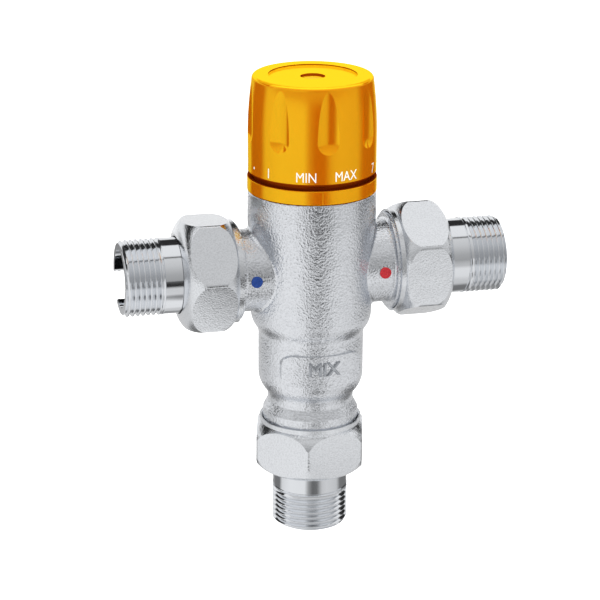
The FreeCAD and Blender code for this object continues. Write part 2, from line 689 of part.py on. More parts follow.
def junction_edges(shape):
    """The edges where the branches meet the trunk."""
    names = []
    for index, edge in enumerate(shape.Edges, start=1):
        centre = edge.CenterOfMass
        reach = abs(centre.x)
        out = math.hypot(centre.y, centre.z - axis_height.number)
        box = edge.BoundBox
        slanting = min(box.XLength, box.YLength, box.ZLength) > s.junction_fillet.number
        if slanting and reach < s.trunk_radius.number and out < branch_radius.number:
            names.append("Edge%d" % index)
    return names


def waterways(body):
    """Bonnet bore, both chambers, the partition with its seal groove, mixing chamber."""
    turned(body, "bonnet_bore", [
        (ZERO, level(s.trunk_top) + OVERCUT),
        (bonnet_bore_radius, level(s.trunk_top) + OVERCUT),
        (bonnet_bore_radius, level(s.bonnet_bore_floor)),
        (cold_chamber_radius, level(s.bonnet_bore_floor)),
        (cold_chamber_radius, level(s.partition_half)),
        (shutter_bore, level(s.partition_half)),
        (shutter_bore, level(s.partition_groove_half)),
        (partition_groove_radius, level(s.partition_groove_half)),
        (partition_groove_radius, level(-s.partition_groove_half)),
        (shutter_bore, level(-s.partition_groove_half)),
        (shutter_bore, level(-s.partition_half)),
        (hot_chamber_radius, level(-s.partition_half)),
        (hot_chamber_radius, level(hot_seat_level)),
        (mixing_radius, level(hot_seat_level)),
        (mixing_radius, level(s.mixing_floor)),
        (s.outlet_bore_radius, level(s.mixing_floor)),
        (s.outlet_bore_radius, level(-outlet_spigot_end) - OVERCUT),
        (ZERO, level(-outlet_spigot_end) - OVERCUT),
    ], cut=True)
    for name, sign in (("cold", -1), ("hot", 1)):
        lying_turned(body, name + "_port", [
            (port_end, ZERO),
            (port_end, s.port_radius),
            (cartridge_bore_end, s.port_radius),
            (cartridge_bore_end, s.cartridge_bore_radius),
            (inlet_spigot_end + OVERCUT, s.cartridge_bore_radius),
            (inlet_spigot_end + OVERCUT, ZERO),
        ], sign, cut=True)
        window(body, name, sign)


def window(body, name, sign):
    """The opening from a port to its own chamber, above or below the partition."""
    if sign < 0:
        low = level(s.partition_half)
        base = -port_end
    else:
        low = level(-s.partition_half - s.window_height)
        base = shutter_bore
    width = s.window_half_width
    extruded(body, name + "_window",
             box_outline(-width, low, width, low + s.window_height),
             base, port_end - shutter_bore, role="YZ_Plane", cut=True)


def dot_sockets(body):
    """The two round sockets in the necks' front for the coloured markers."""
    for name, sign in (("cold", -1), ("hot", 1)):
        sketch = new_sketch(body, name + "_socket_outline", "XZ_Plane",
                            branch_radius - s.dot_depth)
        reach = dot_reach if sign > 0 else -dot_reach
        draw_circle(sketch, reach, axis_height, s.dot_radius + s.dot_clearance)
        extrude_sketch(body, name + "_socket", sketch, s.dot_depth + OVERCUT, cut=True)


def plaque():
    """The raised field on the barrel's front.  Its face is flatter than the barrel."""
    body = new_body("plaque")
    half, corner = barrel_radius - s.plaque_inset, s.plaque_corner
    low, high = level(s.plaque_low), level(s.plaque_high)
    extruded(body, "plaque_field", [
        arc_to(corner - half, low, corner, -1), (half - corner, low),
        arc_to(half, low + corner, corner, -1), (half, high - corner),
        arc_to(half - corner, high, corner, -1), (corner - half, high),
        arc_to(-half, high - corner, corner, -1), (-half, low + corner)],
        ZERO, barrel_radius * 2, role="XZ_Plane")
    outer = doc.addObject("Part::Cylinder", "plaque_outside")
    bind(outer, "Radius", barrel_radius + s.plaque_flattening)
    place(outer, y=s.plaque_flattening - s.plaque_height)
    inner = doc.addObject("Part::Cylinder", "plaque_inside")
    bind(inner, "Radius", barrel_radius - ROOT)
    place(inner)
    for cylinder in (outer, inner):
        bind(cylinder, "Height", axis_height)
    shell = doc.addObject("Part::Cut", "plaque_shell")
    shell.Base = outer
    shell.Tool = inner
    common = doc.addObject("Part::Common", "plaque_on_barrel")
    common.Base = shell
    common.Tool = body
    return common


def build_valve_body():
    fused = doc.addObject("Part::Fuse", "valve_body")
    fused.Label = "valve_body"
    fused.Base = casting()
    fused.Tool = plaque()
    fused.Refine = True
    return fused


# ---- union joints ----

UNIONS = [
    # name, side of the body, distance to the nut, turn of the nut on its thread
    ("cold", -90.0, "inlet", -25.6),
    ("hot", 90.0, "inlet", 3.5),
    ("mixed", 180.0, "outlet", -13.8),
]


def place_union(piece, side, reach, spin=0.0):
    """Stand a piece of a union joint on its branch; its own +Z points outwards."""
    away = Rotation(Vector(0, 1, 0), side)
    direction = away.multVec(Vector(0, 0, 1))
    turn = away.multiply(Rotation(Vector(0, 0, 1), spin))
    base = Vector(direction.x * reach.number, 0, axis_height.number + direction.z * reach.number)
    piece.Placement = Placement(base, turn)
    bind(piece, "Placement.Base.x", reach * round(direction.x))
    bind(piece, "Placement.Base.z", axis_height + reach * round(direction.z))


def union_tail(label):
    body = new_body(label)
    low = s.spigot_engagement + s.gasket_thickness
    flange_top = low + s.tail_flange_thickness
    thread_low = union_end - s.tail_thread_length
    turned(body, label + "_turning", [
        (s.tail_bore_radius, low),
        (s.tail_flange_radius, low),
        (s.tail_flange_radius, flange_top),
        (s.tail_neck_radius, flange_top),
        (s.tail_neck_radius, thread_low),
        (s.tail_thread_radius, thread_low),
        (s.tail_thread_radius, union_end - s.tail_chamfer),
        (s.tail_thread_radius - s.tail_chamfer, union_end),
        (s.tail_bore_radius, union_end),
    ])
    half = s.tail_notch_width / 2
    extruded(body, label + "_notch",
             box_outline(ZERO, -half, s.tail_thread_radius + OVERCUT, half),
             union_end - s.tail_notch_depth, s.tail_notch_depth + OVERCUT,
             cut=True, turn=s.tail_notch_turn)
    return body


def union_nut(label):
    body = new_body(label)
    extruded(body, label + "_hexagon",
             hexagon_outline(s.nut_across_flats / 2 / COS_30), ZERO, s.nut_length)
    doc.recompute()
    upright = [index for index, edge in enumerate(body.Shape.Edges, start=1)
               if abs(edge.BoundBox.ZLength - s.nut_length.number) < TOLERANCE]
    fillet(body, label + "_corners", ["Edge%d" % index for index in upright],
           s.nut_corner_round)
    arc, inner, rim = s.nut_crown_radius, s.nut_crown_start, s.nut_rim_radius
    outside = inner + arc
    clear = outside + OVERCUT
    turned(body, label + "_crown", [
        (inner, s.nut_length),
        arc_to(outside, s.nut_length - arc, arc, 1),
        (clear, s.nut_length - arc),
        (clear, s.nut_length + OVERCUT),
        (inner, s.nut_length + OVERCUT),
    ], cut=True)
    rim_level = arc - (arc * arc - (rim - inner) * (rim - inner)).root()
    turned(body, label + "_lower_crown", [
        (rim, -OVERCUT),
        (clear, -OVERCUT),
        (clear, arc),
        (outside, arc),
        arc_to(rim, rim_level, arc, 1),
    ], cut=True)
    bore = s.spigot_radius + s.nut_bore_clearance
    mouth = s.nut_mouth_chamfer
    shelf = s.spigot_engagement + s.gasket_thickness + s.tail_flange_thickness
    collar = s.tail_thread_radius + s.nut_collar_clearance
    turned(body, label + "_bore", [
        (ZERO, -OVERCUT),
        (bore + mouth, -OVERCUT),
        (bore + mouth, ZERO),
        (bore, mouth),
        (bore, shelf),
        (collar, shelf),
        (collar, s.nut_length + OVERCUT),
        (ZERO, s.nut_length + OVERCUT),
    ], cut=True)
    return body


def union_gasket(label):
    body = new_body(label)
    turned(body, label + "_turning", box_outline(
        s.gasket_bore_radius, s.spigot_engagement,
        s.tail_flange_radius, s.spigot_engagement + s.gasket_thickness))
    return body


def build_unions():
    pieces = []
    for name, side, kind, spin in UNIONS:
        reach = inlet_nut_reach if kind == "inlet" else s.outlet_nut_reach
        tail = union_tail(name + "_tail")
        place_union(tail, side, reach)
        nut = union_nut(name + "_nut")
        place_union(nut, side, reach, spin)
        gasket = union_gasket(name + "_gasket")
        place_union(gasket, side, reach)
        pieces += [tail, nut, gasket]
    return pieces


# ---- check valve and strainer in each inlet ----

def check_housing(label):
    """Plastic cartridge: seat ring at the outer end, spider at the inner end."""
    body = new_body(label)
    low, high = cartridge_bore_end, strainer_seat
    inner = cartridge_radius - s.check_wall
    middle = (low + high) / 2
    half = s.check_groove_width / 2
    floor = cartridge_radius - s.check_groove_depth
    turned(body, label + "_turning", [
        (inner, low),
        (cartridge_radius, low),
        (cartridge_radius, middle - half),
        (floor, middle - half),
        (floor, middle + half),
        (cartridge_radius, middle + half),
        (cartridge_radius, high),
        (s.check_seat_radius, high),
        (s.check_seat_radius, seat_face),
        (inner, seat_face),
    ])
    sketch = new_sketch(body, label + "_hub_outline", "XY_Plane", low)
    draw_circle(sketch, ZERO, ZERO, s.check_spider_radius)
    extrude_sketch(body, label + "_hub", sketch, s.check_spider_thickness)
    arm = extruded(body, label + "_arm",
                   box_outline(ZERO, -s.check_spider_width / 2,
                               inner + s.check_wall / 2, s.check_spider_width / 2),
                   low, s.check_spider_thickness)
    polar(body, arm, SPIDER_ARMS)
    hole = new_sketch(body, label + "_stem_hole", "XY_Plane", low - OVERCUT)
    draw_circle(hole, ZERO, ZERO, s.poppet_stem_radius + s.poppet_stem_clearance)
    extrude_sketch(body, label + "_bore", hole, s.check_spider_thickness + OVERCUT * 2, cut=True)
    return body


def poppet(label):
    body = new_body(label)
    turned(body, label + "_turning", [
        (ZERO, cartridge_bore_end - s.poppet_stem_end),
        (s.poppet_stem_radius, cartridge_bore_end - s.poppet_stem_end),
        (s.poppet_stem_radius, seat_face - s.poppet_thickness),
        (s.poppet_radius, seat_face - s.poppet_thickness),
        (s.poppet_radius, seat_face),
        (s.poppet_nose_radius, seat_face),
        (s.poppet_nose_radius - s.poppet_nose_draft, seat_face + s.poppet_nose_height),
        (ZERO, seat_face + s.poppet_nose_height),
    ])
    return body


def strainer(label):
    """Perforated basket; its rim lies under the gasket."""
    body = new_body(label)
    end = inlet_spigot_end + s.strainer_reach
    turned(body, label + "_turning", [
        (s.strainer_radius - s.strainer_wall, strainer_seat),
        (cartridge_radius, strainer_seat),
        (cartridge_radius, inlet_spigot_end),
        (s.strainer_radius, inlet_spigot_end),
        (s.strainer_radius, end),
        (ZERO, end),
        (ZERO, end - s.strainer_wall),
        (s.strainer_radius - s.strainer_wall, end - s.strainer_wall),
    ])
    half = s.strainer_slot_width / 2
    slot = extruded(body, label + "_slot",
                    box_outline(ZERO, -half, s.strainer_radius + OVERCUT, half),
                    inlet_spigot_end + s.strainer_slot_margin,
                    s.strainer_reach - s.strainer_slot_margin * 2, cut=True)
    polar(body, slot, STRAINER_SLOTS)
    return body


def build_inlets():
    pieces = []
    for name, side in (("cold", -90.0), ("hot", 90.0)):
        housing = check_housing(name + "_check_housing")
        plunger = poppet(name + "_check_poppet")
        spring = coil(name + "_check_spring", s.check_spring_radius, s.check_wire,
                      cartridge_bore_end + s.check_spider_thickness,
                      seat_face - s.poppet_thickness, s.check_turns)
        basket = strainer(name + "_strainer")
        for piece in (housing, plunger, spring, basket):
            place_union(piece, side, ZERO)
        middle = (cartridge_bore_end + strainer_seat) / 2
        section = s.check_seal_section
        mean = s.cartridge_bore_radius - section
        x = -middle if side < 0 else middle
        seal = seal_ring(name + "_check_seal", mean, section, x=x, z=axis_height,
                         axis=Vector(0, 1, 0), turn=as_size(90))
        pieces += [housing, plunger, spring, basket, seal]
    return pieces


# ---- bonnet, its seal and the index ring ----

def build_bonnet():
    body = new_body("bonnet")
    plug = bonnet_bore_radius - s.bonnet_thread_clearance
    plug_low = level(s.bonnet_bore_floor) + s.bonnet_floor_gap
    seal = s.seal_ring_radius
    groove_floor = bonnet_bore_radius - seal * 2
    guide_low = cold_seat_level + s.skirt_bore_depth
    spindle_bore = s.spindle_radius + s.spindle_clearance
    turned(body, "bonnet_turning", [
        (s.guide_radius, level(guide_low)),
        (shutter_bore_radius, level(guide_low)),
        (shutter_bore_radius, level(cold_seat_level)),
        (skirt_radius, level(cold_seat_level)),
        (skirt_radius, plug_low),
        (plug, plug_low),
        (plug, level(s.bonnet_seal_level) - seal),
        (groove_floor, level(s.bonnet_seal_level) - seal),
        (groove_floor, level(s.bonnet_seal_level) + seal),
        (plug, level(s.bonnet_seal_level) + seal),
        (plug, level(bonnet_shelf)),
        (bonnet_flange_radius, level(bonnet_shelf)),
        (bonnet_flange_radius, level(hex_bottom)),
        (s.guide_radius + s.bonnet_guide_wall, level(hex_bottom)),
        (s.guide_radius + s.bonnet_guide_wall, level(hex_top)),
        (s.bonnet_neck_radius, level(hex_top)),
        (s.bonnet_neck_radius, level(neck_top)),
        (spindle_bore, level(neck_top)),
        (spindle_bore, level(s.guide_top)),
        (s.guide_radius, level(s.guide_top)),
    ])
    sketch = new_sketch(body, "bonnet_hexagon_outline", "XY_Plane", level(hex_bottom))
    draw_outline(sketch, hexagon_outline(s.bonnet_across_flats / 2 / COS_30))
    draw_circle(sketch, ZERO, ZERO, s.guide_radius)
    extrude_sketch(body, "bonnet_hexagon", sketch, s.bonnet_hex_height)
    half = s.key_width / 2 + s.key_clearance
    slot = extruded(body, "bonnet_key_slot",
                    box_outline(ZERO, -half, s.key_radius + s.key_clearance, half),
                    level(guide_low) - OVERCUT, s.guide_top - guide_low + OVERCUT, cut=True)
    polar(body, slot, 2)
    stop_half = s.stop_width / 2
    extruded(body, "bonnet_stop",
             box_outline(s.stop_inner, -stop_half, s.stop_inner + s.stop_length, stop_half),
             level(hex_top), s.stop_height, turn=s.rib_turn - stop_spread)
    ring = seal_ring("bonnet_seal", bonnet_bore_radius - seal,
                     seal - s.seal_ring_clearance, z=level(s.bonnet_seal_level))
    return [body, ring]


def build_index_ring():
    body = new_body("index_ring")
    edge = s.ring_edge
    turned(body, "index_ring_turning", [
        (ring_web_radius, level(s.trunk_top)),
        (ring_radius - edge, level(s.trunk_top)),
        arc_to(ring_radius, level(s.trunk_top) + edge, edge, -1),
        (ring_radius, level(s.ring_top) - edge),
        arc_to(ring_radius - edge, level(s.ring_top), edge, -1),
        (ring_wall_radius, level(s.ring_top)),
        (ring_wall_radius, level(bonnet_shelf)),
        (ring_web_radius, level(bonnet_shelf)),
    ])
    return body


def build_markers():
    dots = []
    for name, sign in (("cold_dot", -1), ("hot_dot", 1)):
        body = new_body(name)
        sketch = new_sketch(body, name + "_outline", "XZ_Plane", branch_radius - s.dot_depth)
        reach = dot_reach if sign > 0 else -dot_reach
        draw_circle(sketch, reach, axis_height, s.dot_radius)
        extrude_sketch(body, name + "_disc", sketch, s.dot_depth + s.dot_proud)
        dots.append(body)
    return dots


# ---- spindle, its seals and the dial knob ----

def build_spindle():
    body = new_body("spindle")
    collar_top = level(s.guide_top) - s.thrust_clearance
    collar_low = collar_top - s.spindle_collar_height
    width = s.spindle_groove_width
    lower = level(s.spindle_groove_level)
    upper = lower + s.spindle_groove_pitch
    end = collar_low - s.spindle_thread_length
    turned(body, "spindle_turning", [
        (ZERO, end),
        (s.spindle_thread_radius - s.spindle_lead_in, end),
        (s.spindle_thread_radius, end + s.spindle_lead_in),
        (s.spindle_thread_radius, collar_low),
        (s.spindle_collar_radius, collar_low),
        (s.spindle_collar_radius, collar_top),
        (s.spindle_radius, collar_top),
        (s.spindle_radius, lower),
        (s.spindle_groove_radius, lower),
        (s.spindle_groove_radius, lower + width),
        (s.spindle_radius, lower + width),
        (s.spindle_radius, upper),
        (s.spindle_groove_radius, upper),
        (s.spindle_groove_radius, upper + width),
        (s.spindle_radius, upper + width),
        (s.spindle_radius, level(clip_bottom)),
        (s.clip_groove_radius, level(clip_bottom)),
        (s.clip_groove_radius, level(drive_bottom)),
        (ZERO, level(drive_bottom)),
    ])
    extruded(body, "spindle_drive", hexagon_outline(s.drive_circle_radius),
             level(drive_bottom), s.drive_height)
    hole = new_sketch(body, "spindle_screw_hole", "XY_Plane", level(spindle_top) - s.screw_depth)
    draw_circle(hole, ZERO, ZERO, s.screw_radius + s.drive_clearance)
    extrude_sketch(body, "spindle_tapping", hole, s.screw_depth + OVERCUT, cut=True)
    seals = doc.addObject("Part::Compound", "spindle_seals")
    seals.Label = "spindle_seals"
    rings = []
    for index, base in enumerate((lower, upper)):
        mean = s.spindle_groove_radius + s.spindle_seal_section
        rings.append(seal_ring("spindle_ring_%d" % index, mean, s.spindle_seal_section,
                               z=base + width / 2))
    seals.Links = rings
    return [body, seals, spindle_clip()]


def spindle_clip():
    """Open retaining clip that keeps the spindle from dropping."""
    body = new_body("spindle_clip")
    turned(body, "spindle_clip_turning", box_outline(
        s.clip_groove_radius + s.drive_clearance, level(clip_bottom),
        s.clip_radius, level(drive_bottom)))
    half = s.clip_opening / 2
    extruded(body, "spindle_clip_gap", box_outline(ZERO, -half, s.clip_radius + OVERCUT, half),
             level(clip_bottom) - OVERCUT, s.clip_thickness + OVERCUT * 2, cut=True)
    return body


def build_knob():
    body = new_body("knob")
    edge = s.knob_edge
    lip_low = level(hex_bottom) + s.knob_lip_gap
    draw_in = knob_radius - knob_crest_radius
    climb = s.knob_crest - s.knob_straight_end
    sweep = (climb * climb + draw_in * draw_in) / (draw_in * 2)
    hub_low = level(drive_bottom) + s.knob_hub_gap
    cavity_top = level(recess_floor) - s.knob_top_wall
    turned(body, "knob_turning", [
        (ZERO, hub_low),
        (s.knob_hub_radius, hub_low),
        (s.knob_hub_radius, cavity_top),
        (knob_cavity_radius, cavity_top),
        (knob_cavity_radius, lip_low),
        (knob_lip_radius, lip_low),
        (knob_lip_radius, level(s.knob_bottom)),
        (knob_radius - edge, level(s.knob_bottom)),
        arc_to(knob_radius, level(s.knob_bottom) + edge, edge, -1),
        (knob_radius, level(s.knob_straight_end)),
        arc_to(knob_crest_radius, level(s.knob_crest), sweep, -1),
        arc_to(knob_top_radius, level(s.knob_top), s.knob_top - s.knob_crest, -1),
        (knob_recess_radius, level(s.knob_top)),
        (knob_recess_radius, level(recess_floor)),
        (ZERO, level(recess_floor)),
    ])
    flute_axis = knob_radius - s.flute_depth + s.flute_radius
    reach = s.flute_radius
    dip = (reach * reach - (reach - s.flute_depth) * (reach - s.flute_depth)).root()
    start = level(s.flute_bottom) + dip
    flute = turned(body, "knob_flute", [
        (-flute_axis, start - reach),
        arc_to(reach - flute_axis, start, reach, -1),
        (reach - flute_axis, level(s.knob_top) + OVERCUT),
        (-flute_axis, level(s.knob_top) + OVERCUT),
    ], cut=True, role="YZ_Plane", axis_at=-flute_axis)
    polar(body, flute, FLUTES)
    half = s.rib_thickness / 2
    rib = extruded(body, "knob_rib",
                   box_outline(s.knob_hub_radius - ROOT, -half, knob_cavity_radius + ROOT, half),
                   cavity_top - s.rib_depth, s.rib_depth + ROOT, turn=s.rib_turn)
    polar(body, rib, FLUTES)
    stop_half = s.stop_width / 2
    stop_low = level(hex_top) + s.stop_gap
    extruded(body, "knob_stop",
             box_outline(s.stop_inner, -stop_half, s.stop_inner + s.stop_length, stop_half),
             stop_low, cavity_top - s.rib_depth - stop_low + ROOT, turn=s.rib_turn)
    extruded(body, "knob_drive", hexagon_outline(s.drive_circle_radius + s.drive_clearance),
             hub_low - OVERCUT, level(spindle_top) - hub_low + OVERCUT + s.drive_clearance,
             cut=True)
    knob_bore(body, "knob_screw_hole", s.screw_radius + s.drive_clearance, hub_low)
    knob_bore(body, "knob_well", s.knob_well_radius, screw_seat())
    return body


def knob_bore(body, name, radius, low):
    sketch = new_sketch(body, name + "_outline", "XY_Plane", low)
    draw_circle(sketch, ZERO, ZERO, radius)
    extrude_sketch(body, name, sketch, level(s.knob_top) + OVERCUT - low, cut=True)


def screw_seat():
    """Floor of the knob's well, where the screw's head sits."""
    return level(recess_floor) - s.cap_sink - s.cap_thickness - s.screw_head_height


def build_screw_and_cap():
    screw = new_body("knob_screw")
    low = level(spindle_top) - s.screw_depth + s.drive_clearance
    head_top = screw_seat() + s.screw_head_height
    turned(screw, "knob_screw_turning", [
        (ZERO, low),
        (s.screw_radius, low),
        (s.screw_radius, screw_seat()),
        (s.screw_head_radius, screw_seat()),
        (s.screw_head_radius, head_top),
        (ZERO, head_top),
    ])
    extruded(screw, "knob_screw_socket", hexagon_outline(s.screw_socket_radius),
             head_top - s.screw_socket_depth, s.screw_socket_depth + OVERCUT, cut=True)
    cap = new_body("knob_cap")
    radius = s.knob_well_radius - s.cap_clearance
    sketch = new_sketch(cap, "knob_cap_outline", "XY_Plane", head_top)
    draw_circle(sketch, ZERO, ZERO, radius)
    extrude_sketch(cap, "knob_cap_disc", sketch, s.cap_thickness)
    return [screw, cap]


# ---- carrier with the overload pack ----

def build_carrier():
    body = new_body("carrier")
    low = level(s.carrier_bottom)
    ring_low = level(snap_ring_bottom)
    ring_high = ring_low + s.snap_ring_thickness
    groove = s.carrier_bore_radius + s.snap_ring_groove
    thread = s.spindle_thread_radius + s.carrier_thread_clearance
    turned(body, "carrier_turning", [
        (s.carrier_bore_radius, low),
        (carrier_radius, low),
        (carrier_radius, level(keys_top)),
        (thread, level(keys_top)),
        (thread, level(carrier_ceiling)),
        (s.carrier_bore_radius, level(carrier_ceiling)),
        (s.carrier_bore_radius, ring_high),
        (groove, ring_high),
        (groove, ring_low),
        (s.carrier_bore_radius, ring_low),
    ])
    half = s.key_width / 2
    key = extruded(body, "carrier_key",
                   box_outline(carrier_radius - ROOT, -half, s.key_radius, half),
                   level(s.key_bottom), keys_top - s.key_bottom)
    polar(body, key, 2)
    return body


def build_overload_pack():
    """Snap ring, cup and spring that give way when the shutter is already shut."""
    snap = new_body("snap_ring")
    ring_low = level(snap_ring_bottom)
    outside = s.carrier_bore_radius + s.snap_ring_groove - s.snap_ring_clearance
    turned(snap, "snap_ring_turning", box_outline(
        s.snap_ring_bore_radius, ring_low, outside, ring_low + s.snap_ring_thickness))
    half = s.snap_ring_opening / 2
    extruded(snap, "snap_ring_gap", box_outline(ZERO, -half, outside + OVERCUT, half),
             ring_low - OVERCUT, s.snap_ring_thickness + OVERCUT * 2, cut=True)
    cup = new_body("overload_cup")
    cup_low = level(cup_bottom)
    socket = s.pin_radius + s.pin_clearance
    rim_top = cup_low + s.cup_rim_thickness
    boss = s.overload_radius - s.overload_wire - s.cup_boss_clearance
    turned(cup, "overload_cup_turning", [
        (ZERO, cup_low + s.cup_socket_depth),
        (socket, cup_low + s.cup_socket_depth),
        (socket, cup_low),
        (s.carrier_bore_radius - s.cup_clearance, cup_low),
        (s.carrier_bore_radius - s.cup_clearance, rim_top),
        (boss, rim_top),
        (boss, cup_low + s.cup_thickness),
        (ZERO, cup_low + s.cup_thickness),
    ])
    spring = coil("overload_spring", s.overload_radius, s.overload_wire,
                  rim_top, level(carrier_ceiling), s.overload_turns)
    pin = new_body("element_pin")
    turned(pin, "element_pin_turning", box_outline(
        ZERO, level(s.pin_bottom), s.pin_radius, cup_low + s.cup_socket_depth))
    return [snap, cup, spring, pin]


# ---- wax element, shutter and return spring ----

def build_wax_element():
    body = new_body("wax_element")
    hub = level(s.hub_top)
    flange_top = hub + s.element_flange_thickness
    end = level(s.element_bottom)
    round_end = s.element_end_round
    guide = s.pin_radius + s.pin_clearance
    turned(body, "wax_element_turning", [
        (ZERO, end),
        (s.element_radius - round_end, end),
        arc_to(s.element_radius, end + round_end, round_end, -1),
        (s.element_radius, hub),
        (s.element_flange_radius, hub),
        (s.element_flange_radius, flange_top),
        (s.element_neck_radius, flange_top),
        (s.element_neck_radius, level(s.element_neck_top)),
        (guide, level(s.element_neck_top)),
        (guide, level(s.pin_bottom) - s.pin_clearance),
        (ZERO, level(s.pin_bottom) - s.pin_clearance),
    ])
    return body


def build_shutter():
    body = new_body("shutter")
    turned(body, "shutter_sleeve", box_outline(
        shutter_bore_radius, level(s.shutter_bottom), s.shutter_radius, level(s.shutter_top)))
    low = level(s.hub_top - s.hub_height)
    hub = new_sketch(body, "shutter_hub_outline", "XY_Plane", low)
    draw_circle(hub, ZERO, ZERO, s.hub_radius)
    extrude_sketch(body, "shutter_hub", hub, s.hub_height)
    half = s.spoke_width / 2
    spoke = extruded(body, "shutter_spoke",
                     box_outline(s.hub_radius - ROOT, -half, shutter_bore_radius + ROOT, half),
                     low, s.hub_height)
    polar(body, spoke, SPOKES)
    bore = new_sketch(body, "shutter_bore_outline", "XY_Plane", low - OVERCUT)
    draw_circle(bore, ZERO, ZERO, s.element_radius + s.hub_clearance)
    extrude_sketch(body, "shutter_bore", bore, s.hub_height + OVERCUT * 2, cut=True)
    return body


def build_spring_seat():
    body = new_body("spring_seat")
    low = level(s.mixing_floor)
    high = low + s.seat_plate_thickness
    plate = mixing_radius - s.seat_plate_clearance
    inner = s.seat_bore_radius
    turned(body, "spring_seat_turning", [
        (inner, low),
        (plate, low),
        (plate, high),
        (s.seat_boss_radius, high),
        (s.seat_boss_radius, high + s.seat_boss_height),
        (inner, high + s.seat_boss_height),
    ])
    sketch = new_sketch(body, "spring_seat_hole_outline", "XY_Plane", low - OVERCUT)
    draw_circle(sketch, seat_window_circle, ZERO, s.seat_window_radius)
    hole = extrude_sketch(body, "spring_seat_hole", sketch,
                          s.seat_plate_thickness + OVERCUT * 2, cut=True)
    polar(body, hole, FLOW_HOLES)
    spring = coil("return_spring", s.return_radius, s.return_wire, high,
                  level(s.hub_top - s.hub_height), s.return_turns)
    return [body, spring]


def build_partition_seal():
    inner = shutter_bore - s.partition_seal_proud
    section = (partition_groove_radius - inner) / 2
    return seal_ring("partition_seal", partition_groove_radius - section, section,
                     z=axis_height)


# ---- assembly and export ----

parts = [build_valve_body()]
parts += build_bonnet()
parts += [build_index_ring(), build_partition_seal()]
parts += build_markers()
parts += build_unions()
parts += build_inlets()
parts += build_spindle()
parts += [build_knob()]
parts += build_screw_and_cap()
parts += [build_carrier()]
parts += build_overload_pack()
parts += [build_wax_element(), build_shutter()]
parts += build_spring_seat()
doc.recompute()

faults = []
for item in doc.Objects:
    if "Invalid" in item.State or "Error" in item.State:
        faults.append("%s: %s" % (item.Name, item.State))
for item in parts:
    if item.Shape.isNull() or not item.Shape.isValid() or not item.Shape.Solids:
        faults.append("%s: bad shape" % item.Label)
if faults:
    raise RuntimeError("\n".join(faults))

os.makedirs("parts", exist_ok=True)
for item in parts:
    item.Shape.exportStep(os.path.join("parts", item.Label + ".step"))
    print("%-22s solids %d faces %3d volume %9.1f" % (
        item.Label, len(item.Shape.Solids), len(item.Shape.Faces), item.Shape.Volume))
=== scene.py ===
import json
import math

import bpy
from mathutils import Matrix, Vector
from mathutils.bvhtree import BVHTree
from mathutils.interpolate import poly_3d_calc

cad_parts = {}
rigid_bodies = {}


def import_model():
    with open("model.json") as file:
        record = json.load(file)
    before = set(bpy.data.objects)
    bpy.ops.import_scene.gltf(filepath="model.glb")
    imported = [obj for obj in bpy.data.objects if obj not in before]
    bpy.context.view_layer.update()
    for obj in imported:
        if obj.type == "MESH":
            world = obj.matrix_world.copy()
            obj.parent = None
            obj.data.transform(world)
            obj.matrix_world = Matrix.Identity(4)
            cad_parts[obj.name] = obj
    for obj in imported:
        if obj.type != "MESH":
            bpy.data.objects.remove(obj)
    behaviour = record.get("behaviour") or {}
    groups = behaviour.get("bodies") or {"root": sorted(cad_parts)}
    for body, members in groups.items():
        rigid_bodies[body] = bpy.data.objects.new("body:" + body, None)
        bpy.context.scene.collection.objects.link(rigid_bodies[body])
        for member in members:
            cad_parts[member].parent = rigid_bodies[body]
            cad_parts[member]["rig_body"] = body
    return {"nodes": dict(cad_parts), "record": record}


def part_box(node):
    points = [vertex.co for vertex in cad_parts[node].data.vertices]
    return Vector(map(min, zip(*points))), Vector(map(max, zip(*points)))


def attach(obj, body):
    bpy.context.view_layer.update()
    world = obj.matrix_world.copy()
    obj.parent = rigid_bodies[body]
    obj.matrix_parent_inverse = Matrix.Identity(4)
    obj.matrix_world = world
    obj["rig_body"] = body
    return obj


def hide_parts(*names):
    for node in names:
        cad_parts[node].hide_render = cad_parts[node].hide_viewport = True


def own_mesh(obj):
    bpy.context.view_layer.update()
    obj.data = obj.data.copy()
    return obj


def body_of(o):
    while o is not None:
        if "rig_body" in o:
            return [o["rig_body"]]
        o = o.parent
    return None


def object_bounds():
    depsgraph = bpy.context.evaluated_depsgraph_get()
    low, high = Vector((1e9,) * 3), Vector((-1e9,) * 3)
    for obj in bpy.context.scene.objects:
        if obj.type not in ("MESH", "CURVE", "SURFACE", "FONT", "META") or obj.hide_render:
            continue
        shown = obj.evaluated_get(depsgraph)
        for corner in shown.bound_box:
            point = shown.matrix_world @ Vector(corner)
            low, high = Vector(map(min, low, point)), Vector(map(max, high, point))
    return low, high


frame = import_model()
frame_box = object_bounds()


# ---- Studio ----
# A pale floor under soft lamps.  Only in reflections do the floor and the room also show a
# white table, black screens in front and at both sides and bright windows between them,
# which draw the dark lines on the chrome.  Nothing here is part of the valve.

bpy.context.scene.view_settings.view_transform = "Standard"

tail_room = 0.012               # below the outlet, for its tail when it is drawn off
floor_level = frame_box[0].z - tail_room
floor_paint = (0.82, 0.82, 0.82, 1.0)
floor_lift = 0.66               # brings the painted floor up to white, with its shadow kept
room_light = (0.62, 0.62, 0.63, 1.0)    # on matt surfaces, the same from all sides
room_gain = 1.4                 # of the room that the chrome mirrors
white = (1.0, 1.0, 1.0, 1.0)
valve_middle = Vector((0, 0, 0.09))


def add_node(tree, kind, **settings):
    """A shader node, with its settings and its unlinked inputs by name."""
    node = tree.nodes.new(kind)
    for key, value in settings.items():
        if key in node.inputs:
            node.inputs[key].default_value = value
        else:
            setattr(node, key, value)
    return node


